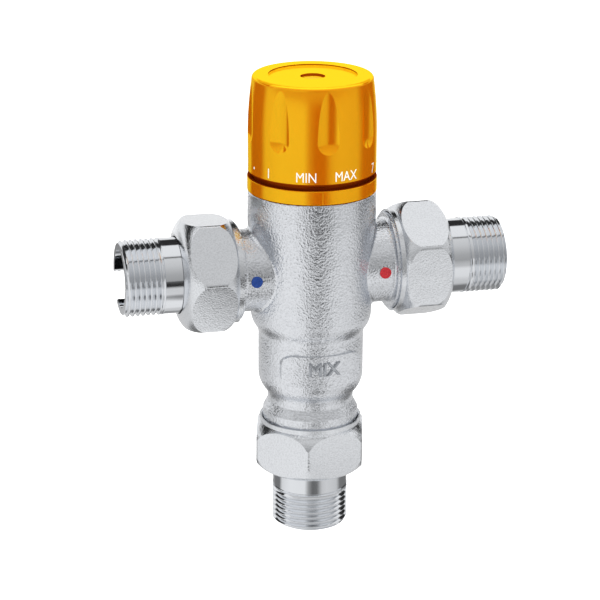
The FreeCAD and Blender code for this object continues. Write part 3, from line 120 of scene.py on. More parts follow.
def math_node(tree, operation, first, second=None):
    """A Math node on two values or sockets; gives its output socket."""
    node = tree.nodes.new("ShaderNodeMath")
    node.operation = operation
    for socket, value in zip(node.inputs, (first, second)):
        if isinstance(value, bpy.types.NodeSocket):
            tree.links.new(value, socket)
        elif value is not None:
            socket.default_value = value
    return node.outputs[0]


def ramp_node(tree, source, stops):
    """A Color Ramp with grey or coloured stops; gives its colour output."""
    node = tree.nodes.new("ShaderNodeValToRGB")
    elements = node.color_ramp.elements
    while len(elements) < len(stops):
        elements.new(0.5)
    for element, (position, colour) in zip(elements, stops):
        element.position = position
        if not isinstance(colour, tuple):
            colour = (colour, colour, colour)
        element.color = (*colour, 1.0)
    tree.links.new(source, node.inputs[0])
    return node.outputs[0]


def light_up_world():
    """White to the camera, even light on matt surfaces, the room to reflections."""
    world = bpy.data.worlds.new("studio")
    bpy.context.scene.world = world
    world.use_nodes = True
    tree = world.node_tree
    tree.nodes.clear()
    direction = add_node(tree, "ShaderNodeTexCoord").outputs["Generated"]
    split = add_node(tree, "ShaderNodeSeparateXYZ")
    tree.links.new(direction, split.inputs[0])
    ahead = math_node(tree, "MULTIPLY", split.outputs["Y"], -1.0)
    climb = math_node(tree, "ARCTAN2", split.outputs["Z"], ahead)
    over = math_node(tree, "DIVIDE", climb, math.pi)
    # from the front's horizon, over the top, to the back's: a dim front, a thin dark bar,
    # the large soft light overhead, and a black screen with light under it at the back
    room = ramp_node(tree, over, [
        (0.00, 0.28), (0.10, 0.32), (0.25, 0.46), (0.37, 0.52), (0.385, 0.50),
        (0.395, 0.10), (0.41, 0.14), (0.425, 0.64), (0.655, 0.66), (0.675, 0.02),
        (0.85, 0.02), (0.88, 0.66)])
    brighter = add_node(tree, "ShaderNodeVectorMath", operation="SCALE", Scale=room_gain)
    tree.links.new(room, brighter.inputs[0])
    path = add_node(tree, "ShaderNodeLightPath")
    inside = add_node(tree, "ShaderNodeMix", data_type="RGBA")
    tree.links.new(path.outputs["Is Glossy Ray"], inside.inputs["Factor"])
    inside.inputs[6].default_value = room_light
    tree.links.new(brighter.outputs[0], inside.inputs[7])
    seen = add_node(tree, "ShaderNodeMix", data_type="RGBA")
    tree.links.new(path.outputs["Is Camera Ray"], seen.inputs["Factor"])
    tree.links.new(inside.outputs[2], seen.inputs[6])
    seen.inputs[7].default_value = white
    background = add_node(tree, "ShaderNodeBackground")
    tree.links.new(seen.outputs[2], background.inputs["Color"])
    output = add_node(tree, "ShaderNodeOutputWorld")
    tree.links.new(background.outputs[0], output.inputs[0])


def floor_material():
    """White to the camera with the shadow kept; table, screens, windows to reflections."""
    material = bpy.data.materials.new("floor_white")
    material.use_nodes = True
    tree = material.node_tree
    tree.nodes.clear()
    place = add_node(tree, "ShaderNodeTexCoord").outputs["Object"]
    split = add_node(tree, "ShaderNodeSeparateXYZ")
    tree.links.new(place, split.inputs[0])
    ahead = math_node(tree, "MULTIPLY", split.outputs["Y"], -1.0)
    turn = math_node(tree, "ARCTAN2", split.outputs["X"], ahead)
    around = math_node(tree, "ADD", math_node(tree, "DIVIDE", turn, math.tau), 0.5)
    distance = add_node(tree, "ShaderNodeVectorMath", operation="LENGTH")
    tree.links.new(place, distance.inputs[0])
    # once round the valve, from the back (0) by the left side and the front (0.5)
    screens = ramp_node(tree, around, [
        (0.00, 0.30), (0.07, 0.26), (0.10, 0.08), (0.18, 0.08), (0.21, 0.78), (0.30, 0.92),
        (0.42, 0.88), (0.45, 0.26), (0.48, 0.02), (0.52, 0.03), (0.56, 0.58), (0.60, 0.68),
        (0.70, 0.60), (0.74, 0.08), (0.85, 0.08), (0.89, 0.20)])
    table = ramp_node(tree, around, [
        (0.00, 0.68), (0.05, 0.64), (0.19, 0.68), (0.25, 0.88), (0.42, 0.92), (0.49, 0.70),
        (0.56, 0.88), (0.68, 0.80), (0.80, 0.64), (0.92, 0.66)])
    windows = ramp_node(tree, around, [
        (0.00, 1.0), (0.07, 1.0), (0.10, 0.0), (0.85, 0.0), (0.89, 1.0)])
    # and outwards in metres: the table with a band of the screens, then the screens, and
    # the windows beyond them
    beyond = ramp_node(tree, distance.outputs["Value"], [
        (0.00, 0.0), (0.05, 0.0), (0.06, 0.8), (0.10, 0.8), (0.13, 0.0), (0.25, 0.0),
        (0.38, 1.0)])
    farthest = ramp_node(tree, distance.outputs["Value"], [(0.41, 0.0), (0.47, 1.0)])
    open_windows = math_node(tree, "MULTIPLY", farthest, windows)
    mirrored = table
    for share, picture in ((beyond, screens), (open_windows, windows)):
        mix = add_node(tree, "ShaderNodeMix", data_type="RGBA")
        tree.links.new(mirrored, mix.inputs[6])
        tree.links.new(share, mix.inputs["Factor"])
        tree.links.new(picture, mix.inputs[7])
        mirrored = mix.outputs[2]
    glow = add_node(tree, "ShaderNodeEmission")
    tree.links.new(mirrored, glow.inputs["Color"])
    paint = add_node(tree, "ShaderNodeBsdfDiffuse", Color=floor_paint)
    lift = add_node(tree, "ShaderNodeEmission", Color=white, Strength=floor_lift)
    lifted = add_node(tree, "ShaderNodeAddShader")
    tree.links.new(paint.outputs[0], lifted.inputs[0])
    tree.links.new(lift.outputs[0], lifted.inputs[1])
    path = add_node(tree, "ShaderNodeLightPath")
    to_camera = add_node(tree, "ShaderNodeMixShader")
    tree.links.new(path.outputs["Is Camera Ray"], to_camera.inputs[0])
    tree.links.new(paint.outputs[0], to_camera.inputs[1])
    tree.links.new(lifted.outputs[0], to_camera.inputs[2])
    chosen = add_node(tree, "ShaderNodeMixShader")
    tree.links.new(path.outputs["Is Glossy Ray"], chosen.inputs[0])
    tree.links.new(to_camera.outputs[0], chosen.inputs[1])
    tree.links.new(glow.outputs[0], chosen.inputs[2])
    output = add_node(tree, "ShaderNodeOutputMaterial")
    tree.links.new(chosen.outputs[0], output.inputs[0])
    return material


light_up_world()
bpy.ops.object.select_all(action="DESELECT")
bpy.ops.mesh.primitive_plane_add(size=12.0, location=(0, 0, floor_level))
floor = bpy.context.object
floor.name = "floor"
floor.data.materials.append(floor_material())

for name, place, size, power in (
        ("top_light", (0.0, -0.1, 1.2), 0.9, 13.0),
        ("front_light", (-0.9, -1.1, 0.7), 0.7, 7.0),
        ("side_light", (1.1, -0.5, 0.6), 0.6, 3.0)):
    bpy.ops.object.light_add(type="AREA", location=place)
    lamp = bpy.context.object
    lamp.name = name
    lamp.data.size = size
    lamp.data.energy = power
    lamp.visible_glossy = False
    aim = valve_middle - Vector(place)
    lamp.rotation_euler = aim.to_track_quat("-Z", "Y").to_euler()

# a long lens in front of the valve, to the left of it and above its dial
bpy.ops.object.camera_add()
camera = bpy.context.object
camera.data.lens = 147.64
camera.data.sensor_width = 36.0
right = Vector((0.969253, -0.245990, 0.006074))
up = Vector((0.072374, 0.308589, 0.948438))
back = right.cross(up)
camera.matrix_world = Matrix.Translation((-0.204579, -0.783917, 0.352184)) @ Matrix(
    (right, up, back)).transposed().to_4x4()
camera.data.clip_start = 0.05
camera.data.clip_end = 20.0
bpy.context.scene.camera = camera


# ---- Casting ----
# Hot-forged brass tee, shot-blasted all over and chromed, so its skin is a bright satin
# with fine pits.  The three spigots are turned afterwards and carry G1 threads.

axis_height = (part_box("cold_dot")[0].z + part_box("cold_dot")[1].z) / 2
UNIONS = {
    # the branch's direction, as a turn about Y, and the distance to its nut's near face
    "cold": (-math.pi / 2, abs(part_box("cold_nut")[1].x)),
    "hot": (math.pi / 2, abs(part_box("hot_nut")[0].x)),
    "mixed": (math.pi, axis_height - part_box("mixed_nut")[1].z),
}
union_pitch = 0.0254 / 11       # G1, eleven turns to the inch
union_radius = 0.01662
spigot_length = 0.0105
thread_bite = 0.00001           # the thread's tool starts this far inside the crests,
thread_start = 0.0002           # this far past the thread's inner end,
thread_overrun = 0.0015         # and runs out this far past its outer end


def stand_on_branch(name):
    """The matrix that takes a piece made upright on the valve's axis onto its branch."""
    turn, reach = UNIONS[name]
    return (Matrix.Translation((0, 0, axis_height)) @ Matrix.Rotation(turn, 4, "Y")
            @ Matrix.Translation((0, 0, reach)))


def thread_tool(name, crest, pitch, low, high):
    """The space round a right-hand thread that fades out at its low end, closed."""
    depth = 0.64 * pitch        # a Whitworth form
    outer = crest + 0.0015      # the tool's own outer wall, in the open
    run_out = 0.8 * pitch
    columns = 96                # steps in a turn
    # share of the pitch, and how deep the groove is there
    profile = ((0.00, 0.00), (0.06, 0.04), (0.12, 0.14), (0.38, 0.86), (0.44, 0.96),
               (0.50, 1.00), (0.56, 0.96), (0.62, 0.86), (0.88, 0.14), (0.94, 0.04))
    turns = int((high - low) / pitch) + 2
    rows = [(turn + share, dip) for turn in range(-1, turns) for share, dip in profile]
    bpy.ops.object.select_all(action="DESELECT")
    bpy.ops.mesh.primitive_grid_add(x_subdivisions=columns, y_subdivisions=len(rows) + 2,
                                    size=1.0)
    tool = bpy.context.object
    tool.name = name
    for vertex in tool.data.vertices:
        column = round((vertex.co.x + 0.5) * columns)
        row = round((vertex.co.y + 0.5) * (len(rows) + 2)) - 1
        if row < 0 or row > len(rows):
            radius, level = outer, low
        elif row == len(rows):
            radius, level = outer, high
        else:
            height, dip = rows[row]
            level = low + pitch * (height + column / columns)
            fade = min(1.0, max(0.0, (level - low) / run_out))
            radius = crest - depth * dip * fade
            if level <= low:
                radius, level = crest, low
            elif level >= high:
                radius, level = outer, high
        angle = math.tau * (column % columns) / columns
        vertex.co = (radius * math.cos(angle), radius * math.sin(angle), level)
    bpy.ops.object.mode_set(mode="EDIT")
    bpy.ops.mesh.select_all(action="SELECT")
    bpy.ops.mesh.remove_doubles(threshold=1e-7)
    bpy.ops.mesh.dissolve_degenerate(threshold=1e-7)
    bpy.ops.mesh.select_all(action="SELECT")
    bpy.ops.mesh.normals_make_consistent(inside=False)
    bpy.ops.object.mode_set(mode="OBJECT")
    return tool


def merged_copy(node, name):
    """A copy of a CAD node with its loose triangles merged into one closed mesh."""
    bpy.ops.object.select_all(action="DESELECT")
    copy = frame["nodes"][node].copy()
    copy.data = frame["nodes"][node].data.copy()
    copy.name = name
    copy.data.name = name
    copy.parent = None
    for key in list(copy.keys()):
        del copy[key]
    bpy.context.scene.collection.objects.link(copy)
    bpy.context.view_layer.objects.active = copy
    copy.select_set(True)
    bpy.ops.object.mode_set(mode="EDIT")
    bpy.ops.mesh.select_all(action="SELECT")
    bpy.ops.mesh.remove_doubles(threshold=1e-6)
    bpy.ops.object.mode_set(mode="OBJECT")
    return copy


def combine(piece, tool, operation):
    """Cut the tool out of the piece, or add it, and delete the tool."""
    bpy.ops.object.select_all(action="DESELECT")
    bpy.context.view_layer.objects.active = piece
    piece.select_set(True)
    join = piece.modifiers.new("join", "BOOLEAN")
    join.operation = operation
    join.solver = "MANIFOLD"
    join.object = tool
    bpy.ops.object.modifier_apply(modifier="join")
    bpy.data.objects.remove(tool)


def keep_normals(piece, node):
    """Shade the piece with the node's true surface normals wherever its surface is left."""
    touching, alike = 3e-6, 0.6     # metres; cosine between the face and the true normal
    source = frame["nodes"][node].data
    places = [v.co.copy() for v in source.vertices]
    triangles = [tuple(polygon.vertices) for polygon in source.polygons]
    corners = [[source.corner_normals[i].vector.copy() for i in polygon.loop_indices]
               for polygon in source.polygons]
    tree = BVHTree.FromPolygons(places, triangles)
    normals = [corner.vector.copy() for corner in piece.data.corner_normals]
    nearby = [tree.find_nearest_range(v.co, touching) for v in piece.data.vertices]
    for polygon in piece.data.polygons:
        for index in polygon.loop_indices:
            vertex = piece.data.loops[index].vertex_index
            found = []
            for place, _, triangle, _ in nearby[vertex]:
                weights = poly_3d_calc([places[i] for i in triangles[triangle]], place)
                normal = Vector((0, 0, 0))
                for weight, corner in zip(weights, corners[triangle]):
                    normal += weight * corner
                found.append(normal.normalized())
            if found:
                best = max(found, key=polygon.normal.dot)
                if best.dot(polygon.normal) > alike:
                    normals[index] = best
    piece.data.normals_split_custom_set(normals)


def shade(piece, angle):
    """Smooth shading, with an edge wherever faces meet at more degrees than the angle."""
    bpy.ops.object.select_all(action="DESELECT")
    bpy.context.view_layer.objects.active = piece
    piece.select_set(True)
    bpy.ops.object.shade_smooth_by_angle(angle=math.radians(angle))


def give(piece, material):
    """Make the material the piece's only one."""
    piece.data.materials.clear()
    piece.data.materials.append(material)


def effect_group(name, takes, puts_out):
    """An empty node group with the named sockets; gives it with its two end nodes."""
    tree = bpy.data.node_groups.new(name, "ShaderNodeTree")
    for side, sockets in (("INPUT", takes), ("OUTPUT", puts_out)):
        for label, kind in sockets:
            tree.interface.new_socket(label, in_out=side, socket_type="NodeSocket" + kind)
    return tree, add_node(tree, "NodeGroupInput"), add_node(tree, "NodeGroupOutput")


def blasted_skin_group():
    """Fine blasting pits over the slow unevenness of forging, with painted shade in the pits'
    colour.
    """
    tree, inputs, outputs = effect_group(
        "blasted_skin",
        (("Pit scale", "Float"), ("Pit height", "Float"), ("Wave height", "Float"),
         ("Painted pit shade", "Color"), ("Skin colour", "Color")),
        (("Colour", "Color"), ("Roughness", "Float"), ("Normal", "Vector")))
    place = add_node(tree, "ShaderNodeTexCoord").outputs["Object"]
    pits = add_node(tree, "ShaderNodeTexNoise", Detail=2.0, Roughness=0.5)
    waves = add_node(tree, "ShaderNodeTexNoise", Scale=170.0, Detail=2.0)
    tree.links.new(place, pits.inputs["Vector"])
    tree.links.new(place, waves.inputs["Vector"])
    tree.links.new(inputs.outputs["Pit scale"], pits.inputs["Scale"])
    slow = add_node(tree, "ShaderNodeBump", Distance=0.0006)
    tree.links.new(inputs.outputs["Wave height"], slow.inputs["Strength"])
    tree.links.new(waves.outputs["Fac"], slow.inputs["Height"])
    fine = add_node(tree, "ShaderNodeBump", Distance=0.00023)
    tree.links.new(inputs.outputs["Pit height"], fine.inputs["Strength"])
    tree.links.new(pits.outputs["Fac"], fine.inputs["Height"])
    tree.links.new(slow.outputs["Normal"], fine.inputs["Normal"])
    tree.links.new(fine.outputs["Normal"], outputs.inputs["Normal"])
    # painted shade: the pits' low places take the darker pit colour
    painted_pit_shade = ramp_node(tree, pits.outputs["Fac"], [(0.36, 0.0), (0.58, 1.0)])
    colour = add_node(tree, "ShaderNodeMix", data_type="RGBA")
    tree.links.new(painted_pit_shade, colour.inputs["Factor"])
    tree.links.new(inputs.outputs["Painted pit shade"], colour.inputs[6])
    tree.links.new(inputs.outputs["Skin colour"], colour.inputs[7])
    tree.links.new(colour.outputs[2], outputs.inputs["Colour"])
    dull = ramp_node(tree, waves.outputs["Fac"], [(0.35, 0.05), (0.65, 0.09)])
    tree.links.new(dull, outputs.inputs["Roughness"])
    return tree


def plain_material(name, colour, metallic, roughness, **more):
    """A material with one Principled BSDF; gives it with its tree and shader."""
    material = bpy.data.materials.new(name)
    material.use_nodes = True
    tree = material.node_tree
    shader = tree.nodes["Principled BSDF"]
    shader.inputs["Base Color"].default_value = (*colour, 1.0)
    shader.inputs["Metallic"].default_value = metallic
    shader.inputs["Roughness"].default_value = roughness
    for key, value in more.items():
        shader.inputs[key.replace("_", " ")].default_value = value
    return material, tree, shader


blasted_skin = blasted_skin_group()


def blasted_chrome(name, colour, pit_scale, pit_height, wave_height):
    """Chrome on a blasted skin; its colour is a little darker in the pits, as painted shade.
    """
    material, tree, shader = plain_material(name, colour, 1.0, 0.2)
    skin = add_node(tree, "ShaderNodeGroup", node_tree=blasted_skin)
    skin.inputs["Pit scale"].default_value = pit_scale
    skin.inputs["Pit height"].default_value = pit_height
    skin.inputs["Wave height"].default_value = wave_height
    # painted shade in the pits, a little darker than the skin
    skin.inputs["Painted pit shade"].default_value = (*[0.90 * value for value in colour], 1.0)
    skin.inputs["Skin colour"].default_value = (*colour, 1.0)
    tree.links.new(skin.outputs["Colour"], shader.inputs["Base Color"])
    tree.links.new(skin.outputs["Roughness"], shader.inputs["Roughness"])
    tree.links.new(skin.outputs["Normal"], shader.inputs["Normal"])
    return material


casting_chrome = blasted_chrome("casting_chrome", (0.81, 0.83, 0.865), 1400.0, 1.0, 0.35)

casting = merged_copy("valve_body", "casting")
for name in UNIONS:
    tool = thread_tool("spigot_tool", union_radius - thread_bite, union_pitch,
                       thread_start, spigot_length + thread_overrun)
    tool.data.transform(stand_on_branch(name))
    combine(casting, tool, "DIFFERENCE")
shade(casting, 30)
keep_normals(casting, "valve_body")
give(casting, casting_chrome)
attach(casting, "valve")
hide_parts("valve_body")


# ---- Tails ----
# Turned brass tails, polished and chromed, with a G3/4 thread at the free end and a notch
# in its rim.  A flange inside the union nut holds each one against its gasket.

tail_pitch = 0.0254 / 14        # G3/4, fourteen turns to the inch
tail_radius = 0.01322
tail_end = 0.0395               # from the nut's near face to the tail's rim
tail_thread = 0.0137


def turned_lines_group():
    """The rings that a lathe tool leaves round an axis."""
    tree, inputs, outputs = effect_group(
        "turned_lines", (("Along", "Float"),),
        (("Roughness", "Float"), ("Normal", "Vector")))
    lines = add_node(tree, "ShaderNodeTexNoise", noise_dimensions="1D", Scale=9000.0,
                     Detail=2.0)
    tree.links.new(inputs.outputs["Along"], lines.inputs["W"])
    bump = add_node(tree, "ShaderNodeBump", Strength=0.10, Distance=0.00004)
    tree.links.new(lines.outputs["Fac"], bump.inputs["Height"])
    tree.links.new(bump.outputs["Normal"], outputs.inputs["Normal"])
    dull = ramp_node(tree, lines.outputs["Fac"], [(0.3, 0.06), (0.7, 0.12)])
    tree.links.new(dull, outputs.inputs["Roughness"])
    return tree


turned_lines = turned_lines_group()


def turned_chrome(name, direction):
    """Bright chrome with turning lines; direction is the turned piece's axis."""
    material, tree, shader = plain_material(name, (0.80, 0.82, 0.85), 1.0, 0.1)
    place = add_node(tree, "ShaderNodeTexCoord").outputs["Object"]
    split = add_node(tree, "ShaderNodeSeparateXYZ")
    tree.links.new(place, split.inputs[0])
    lines = add_node(tree, "ShaderNodeGroup", node_tree=turned_lines)
    tree.links.new(split.outputs[direction], lines.inputs["Along"])
    tree.links.new(lines.outputs["Roughness"], shader.inputs["Roughness"])
    tree.links.new(lines.outputs["Normal"], shader.inputs["Normal"])
    return material


turned = {"X": turned_chrome("turned_chrome_lying", "X"),
          "Z": turned_chrome("turned_chrome_upright", "Z")}

for name in UNIONS:
    tail = merged_copy(name + "_tail", name + "_threaded_tail")
    tool = thread_tool("tail_tool", tail_radius - thread_bite, tail_pitch,
                       tail_end - tail_thread + thread_start, tail_end + thread_overrun)
    tool.data.transform(stand_on_branch(name))
    combine(tail, tool, "DIFFERENCE")
    shade(tail, 35)
    keep_normals(tail, name + "_tail")
    give(tail, turned["Z" if name == "mixed" else "X"])
    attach(tail, name + "_union")
    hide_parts(name + "_tail")


# ---- Union nuts ----
# Hot-pressed brass hexagons with crowned ends, blasted finer than the casting and chromed.
# Each one screws on its spigot's G1 thread and draws the tail up by its flange.

flat_chrome = blasted_chrome("nut_flat_chrome", (0.81, 0.83, 0.86), 2100.0, 0.35, 0.15)

for name in UNIONS:
    give(frame["nodes"][name + "_nut"], flat_chrome)


# ---- Dial and index ring ----
# The knob, the plug over its screw and the fixed ring are moulded in one glossy orange
# plastic.  The knob is screwed to the spindle and turns just clear of the ring, which the
# bonnet's flange holds on the casting.

ring_foot, ring_lip = (end.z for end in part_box("index_ring"))
knob_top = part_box("knob")[1].z
# where the dial's shade and light are painted: shade in the gap under the knob, at the ring's
# foot, on the dish's wall and round the plug, light on the knob's top
slot_levels = (ring_lip - 0.0001, ring_lip + 0.0022)    # the gap under the knob
foot_shade_height = 0.00018           # of the painted shade at the ring's foot, where it meets the casting
rim_depth = 0.0005              # of the knob's flat rim, below its top
dish_depth, dish_radius = 0.006, 0.0165                 # of all that lies inside that rim
wall_depths, wall_radius = (0.00005, 0.00040), 0.0175   # of the dish's wall
hole_depths, hole_radius = (0.00074, 0.00170), 0.0046   # of the wall round the plug


def orange_plastic(name, top_light_colour):
    """Glossy orange with a golden gloss: painted shade deep in the slot and corners, painted
    light on top.
    """
    # the sides' own orange, then painted shade for the slot and for the corners
    side, slot, corner = (0.70, 0.13, 0.001), (0.16, 0.018, 0.0005), (0.22, 0.035, 0.001)
    gold, red = (0.88, 0.93, 0.03), (0.20, 0.03, 0.0)       # the gloss's tint outside, and painted shade on it in the slot and corners
    material, tree, shader = plain_material(name, side, 0.0, 0.13, IOR=4.6)
    place = add_node(tree, "ShaderNodeTexCoord").outputs["Object"]
    split = add_node(tree, "ShaderNodeSeparateXYZ")
    tree.links.new(place, split.inputs[0])
    height = split.outputs["Z"]
    flat = add_node(tree, "ShaderNodeVectorMath", operation="MULTIPLY")
    tree.links.new(place, flat.inputs[0])
    flat.inputs[1].default_value = (1.0, 1.0, 0.0)
    away = add_node(tree, "ShaderNodeVectorMath", operation="LENGTH")
    tree.links.new(flat.outputs[0], away.inputs[0])

    def layer(low, high):
        """A mask between two levels."""
        off = math_node(tree, "ABSOLUTE",
                        math_node(tree, "SUBTRACT", height, (low + high) / 2))
        return math_node(tree, "LESS_THAN", off, (high - low) / 2)

    def within(mask, reach):
        """The part of a mask that is no further from the dial's axis than reach."""
        inside = math_node(tree, "LESS_THAN", away.outputs["Value"], reach)
        return math_node(tree, "MULTIPLY", mask, inside)

    # painted shade in the gap under the knob and at the ring's foot
    painted_foot_shade = math_node(tree, "LESS_THAN", height, ring_foot + foot_shade_height)
    painted_slot_shade = math_node(tree, "MAXIMUM", layer(*slot_levels), painted_foot_shade)
    # painted light on the knob's top: its rim and all that lies inside it
    rim = math_node(tree, "GREATER_THAN", height, knob_top - rim_depth)
    dish = math_node(tree, "GREATER_THAN", height, knob_top - dish_depth)
    painted_top_light = math_node(tree, "MAXIMUM", rim, within(dish, dish_radius))
    # painted shade on the dish's wall and on the wall round the plug
    wall, hole = (layer(knob_top - lowest, knob_top - highest)
                  for highest, lowest in (wall_depths, hole_depths))
    corners = math_node(tree, "MAXIMUM", within(wall, wall_radius), within(hole, hole_radius))
    colour = side
    for mask, tint in ((painted_slot_shade, slot), (painted_top_light, top_light_colour), (corners, corner)):
        mix = add_node(tree, "ShaderNodeMix", data_type="RGBA")
        tree.links.new(mask, mix.inputs["Factor"])
        if isinstance(colour, tuple):
            mix.inputs[6].default_value = (*colour, 1.0)
        else:
            tree.links.new(colour, mix.inputs[6])
        mix.inputs[7].default_value = (*tint, 1.0)
        colour = mix.outputs[2]
    tree.links.new(colour, shader.inputs["Base Color"])
    # painted shade on the gloss as well: dark red in the slot and the corners
    dull = math_node(tree, "MAXIMUM", painted_slot_shade, corners)
    gloss = ramp_node(tree, dull, [(0.0, gold), (1.0, red)])
    tree.links.new(gloss, shader.inputs["Specular Tint"])
    return material


# the knob's top in a paler orange: painted light
orange = orange_plastic("orange_plastic", (0.84, 0.38, 0.006))
for node in ("knob", "index_ring"):
    give(frame["nodes"][node], orange)
# the sunken plug's top in a bright yellow: painted light on the same plastic
give(frame["nodes"]["knob_cap"], orange_plastic("orange_plug_painted_light", (0.92, 0.60, 0.04)))


# ---- Dial print ----
# MIN, the figures 1 to 7 with a dot between each two, and MAX are printed in white round
# the knob's foot, in the order in which they pass the index.

dial_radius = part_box("knob")[1].x
print_low = axis_height + 0.0357
print_height = 0.0035
print_film = 0.00008            # the ink's thickness
print_lift = 0.00001            # between the knob's side and the middle of the ink
print_width = 0.84              # of the plain font's: a narrower face
dot_radius = 0.00042
capital_height = 0.729          # of the font's size
min_turn, max_turn = -19.6, 16.9        # degrees round the knob from its front
first_turn, figure_step = -56.0, 41.75


def letters(text, size, thickness, rounding=0.0):
    """Flat text as a closed mesh, centred on x with its foot on y = 0.

    Rounding rolls the letters' edges, and draws their outline in by a part of it.
    """
    bpy.ops.object.select_all(action="DESELECT")
    bpy.ops.object.text_add()
    word = bpy.context.object
    word.data.body = text
    word.data.align_x = "CENTER"
    word.data.size = size
    word.data.extrude = thickness / 2
    word.data.bevel_depth = rounding
    word.data.bevel_resolution = 2
    word.data.offset = -0.4 * rounding
    bpy.ops.object.convert(target="MESH")
    bpy.ops.object.mode_set(mode="EDIT")
    bpy.ops.mesh.select_all(action="SELECT")
    bpy.ops.mesh.remove_doubles(threshold=1e-7)
    bpy.ops.object.mode_set(mode="OBJECT")
    return word


def wrap(piece, radius, azimuth, level, centre=0.0, slice_width=0.0006):
    """Bend a flat piece from the xy plane onto an upright cylinder, cut into slices first.

    The azimuth is measured from the front, and centre is the cylinder's place on y.
    """
    half = max(abs(v.co.x) for v in piece.data.vertices)
    bpy.context.view_layer.objects.active = piece
    steps = int(half / slice_width) + 1
    bpy.ops.object.mode_set(mode="EDIT")
    for step in range(-steps, steps + 1):
        bpy.ops.mesh.select_all(action="SELECT")
        bpy.ops.mesh.bisect(plane_co=(step * slice_width, 0, 0), plane_no=(1, 0, 0))
    bpy.ops.object.mode_set(mode="OBJECT")
    for vertex in piece.data.vertices:
        angle = azimuth + vertex.co.x / radius
        away = radius + vertex.co.z
        vertex.co = (away * math.sin(angle), centre - away * math.cos(angle),
                     level + vertex.co.y)


white_ink = plain_material("dial_print", (0.86, 0.86, 0.84), 0.0, 0.35)[0]
marks = [("MIN", min_turn), ("MAX", max_turn)]
marks += [(str(figure), first_turn - figure_step * (figure - 1)) for figure in range(1, 8)]
printed = []
for text, turn in marks:
    mark = letters(text, print_height / capital_height, print_film)
    for vertex in mark.data.vertices:
        vertex.co.x *= print_width
    wrap(mark, dial_radius + print_lift, math.radians(turn), print_low)
    printed.append(mark)
for figure in range(1, 7):
    bpy.ops.object.select_all(action="DESELECT")
    bpy.ops.mesh.primitive_cylinder_add(vertices=20, radius=dot_radius, depth=print_film,
                                        location=(0, print_height / 2, 0))
    bpy.ops.object.transform_apply(location=True)
    dot = bpy.context.object
    turn = first_turn - figure_step * (figure - 0.5)
    wrap(dot, dial_radius + print_lift, math.radians(turn), print_low)
    printed.append(dot)
bpy.ops.object.select_all(action="DESELECT")
for mark in printed:
    mark.select_set(True)
bpy.context.view_layer.objects.active = printed[0]
bpy.ops.object.join()
dial_print = bpy.context.object
dial_print.name = "dial_print"
give(dial_print, white_ink)
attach(dial_print, "dial")


# ---- Index line ----
# A fine raised line, moulded on the fixed ring, at which the dial's setting is read.  It
# stops short of both edges, and its own edges are rounded.

index_turn = -4.9               # degrees from the front
line_width, line_depth = 0.00035, 0.0005
line_sink = 0.0001              # of the middle of its depth below the ring's side
line_margin = 0.0002            # to each edge of the ring

bpy.ops.object.select_all(action="DESELECT")
bpy.ops.mesh.primitive_cube_add(size=1.0)
index_line = bpy.context.object
index_line.name = "index_line"
index_line.scale = (line_width, ring_lip - ring_foot - 2 * line_margin, line_depth)
index_line.location = (0, 0, -line_sink)
bpy.ops.object.transform_apply(location=True, scale=True)
round_edges = index_line.modifiers.new("edges", "BEVEL")
round_edges.width = 0.0001
round_edges.segments = 2
bpy.ops.object.modifier_apply(modifier="edges")
wrap(index_line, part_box("index_ring")[1].x, math.radians(index_turn),
     (ring_foot + ring_lip) / 2)
give(index_line, orange)
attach(index_line, "valve")


# ---- Cast word ----
# The word for the mixed outlet is cast proud of the plaque on the casting's front.  It has
# the casting's skin with painted shade, a darker copy of its chrome, so that it can be read
# on the bright grain.

plaque_radius = 0.0240          # of the plaque's face, flatter than the barrel behind it
plaque_centre = 0.0052          # that face's axis, behind the casting's own
word_height, word_thickness, word_rounding = 0.0047, 0.0007, 0.00030
word_low = axis_height - 0.0340

word = letters("MIX", word_height / capital_height, word_thickness, word_rounding)
word.name = "cast_word"
wrap(word, plaque_radius, 0.0, word_low, plaque_centre)
# painted shade: the same chrome as the casting, only darker
give(word, blasted_chrome("word_painted_shade_chrome", (0.47, 0.49, 0.52), 1400.0, 0.25, 0.2))
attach(word, "valve")


# ---- Markers and inner pieces ----
# Enamelled markers on the branches, blue for cold and red for hot.  Inside, the pieces are
# turned brass, drawn wire, pressed stainless, rubber, fibre and a white bearing plastic,
# and each takes its finish by the record's material slot.

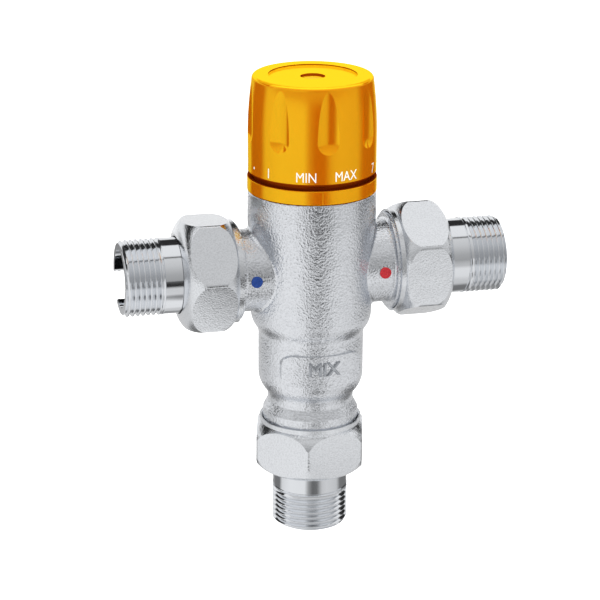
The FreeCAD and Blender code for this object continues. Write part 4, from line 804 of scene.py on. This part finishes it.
def grained(name, colour, metallic, roughness, scale, height, stretch=(1.0, 1.0, 1.0),
            **more):
    """A plain material with a fine grain in its colour, gloss and surface."""
    material, tree, shader = plain_material(name, colour, metallic, roughness, **more)
    place = add_node(tree, "ShaderNodeTexCoord").outputs["Object"]
    longer = add_node(tree, "ShaderNodeMapping", Scale=stretch)
    tree.links.new(place, longer.inputs["Vector"])
    grain = add_node(tree, "ShaderNodeTexNoise", Scale=scale, Detail=3.0)
    tree.links.new(longer.outputs[0], grain.inputs["Vector"])
    bump = add_node(tree, "ShaderNodeBump", Distance=height)
    tree.links.new(grain.outputs["Fac"], bump.inputs["Height"])
    tree.links.new(bump.outputs["Normal"], shader.inputs["Normal"])
    gloss = ramp_node(tree, grain.outputs["Fac"],
                      [(0.3, 0.8 * roughness), (0.7, min(1.0, 1.2 * roughness))])
    tree.links.new(gloss, shader.inputs["Roughness"])
    darker = tuple(0.82 * value for value in colour)
    tint = ramp_node(tree, grain.outputs["Fac"], [(0.35, darker), (0.65, colour)])
    tree.links.new(tint, shader.inputs["Base Color"])
    return material


finishes = {
    "dot_blue": grained("blue_enamel", (0.006, 0.045, 0.24), 0.0, 0.25, 900.0, 0.00001),
    "dot_red": grained("red_enamel", (0.48, 0.010, 0.018), 0.0, 0.25, 900.0, 0.00001),
    "brass": grained("turned_brass", (0.72, 0.50, 0.19), 1.0, 0.22, 700.0, 0.00002,
                     (0.15, 0.15, 8.0)),
    "stainless": grained("brushed_stainless", (0.56, 0.55, 0.53), 1.0, 0.25, 500.0, 0.00001,
                         (0.2, 0.2, 6.0)),
    "spring_steel": grained("drawn_wire", (0.42, 0.42, 0.43), 1.0, 0.28, 1500.0, 0.00001),
    "seal_rubber": grained("black_rubber", (0.018, 0.018, 0.019), 0.0, 0.5, 1200.0,
                           0.00002),
    "fibre": grained("pressed_fibre", (0.34, 0.10, 0.055), 0.0, 0.75, 1600.0, 0.00006),
    "valve_plastic": grained("bearing_plastic", (0.78, 0.77, 0.72), 0.0, 0.35, 800.0,
                             0.00001, Subsurface_Weight=0.1, Subsurface_Scale=0.001),
}
for subpart in frame["record"]["subparts"]:
    if subpart["material_slot"] in finishes:
        give(frame["nodes"][subpart["node"]], finishes[subpart["material_slot"]])


# ---- Springs ----
# Wound from drawn wire, each one loaded by a moving piece.  Each is listed with that piece's
# joint, its travel, its axis and its seat, where its other end stays: the high end of its box
# along the axis (1) or the low (0).

check_travel = 0.0024
overload_travel = shutter_travel = 0.0015

for node, joint, travel, axis, seat in (
        ("cold_check_spring", "cold_check_slide", check_travel, "x", 1),
        ("hot_check_spring", "hot_check_slide", check_travel, "x", 0),
        ("overload_spring", "overload_slide", overload_travel, "z", 1),
        ("return_spring", "shutter_slide", shutter_travel, "z", 0)):
    coil = merged_copy(node, node + "_coil")
    shade(coil, 40)
    give(coil, finishes["spring_steel"])
    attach(coil, body_of(frame["nodes"][node])[0])
    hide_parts(node)
    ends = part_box(node)
    length = getattr(ends[1], axis) - getattr(ends[0], axis)
    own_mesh(coil)
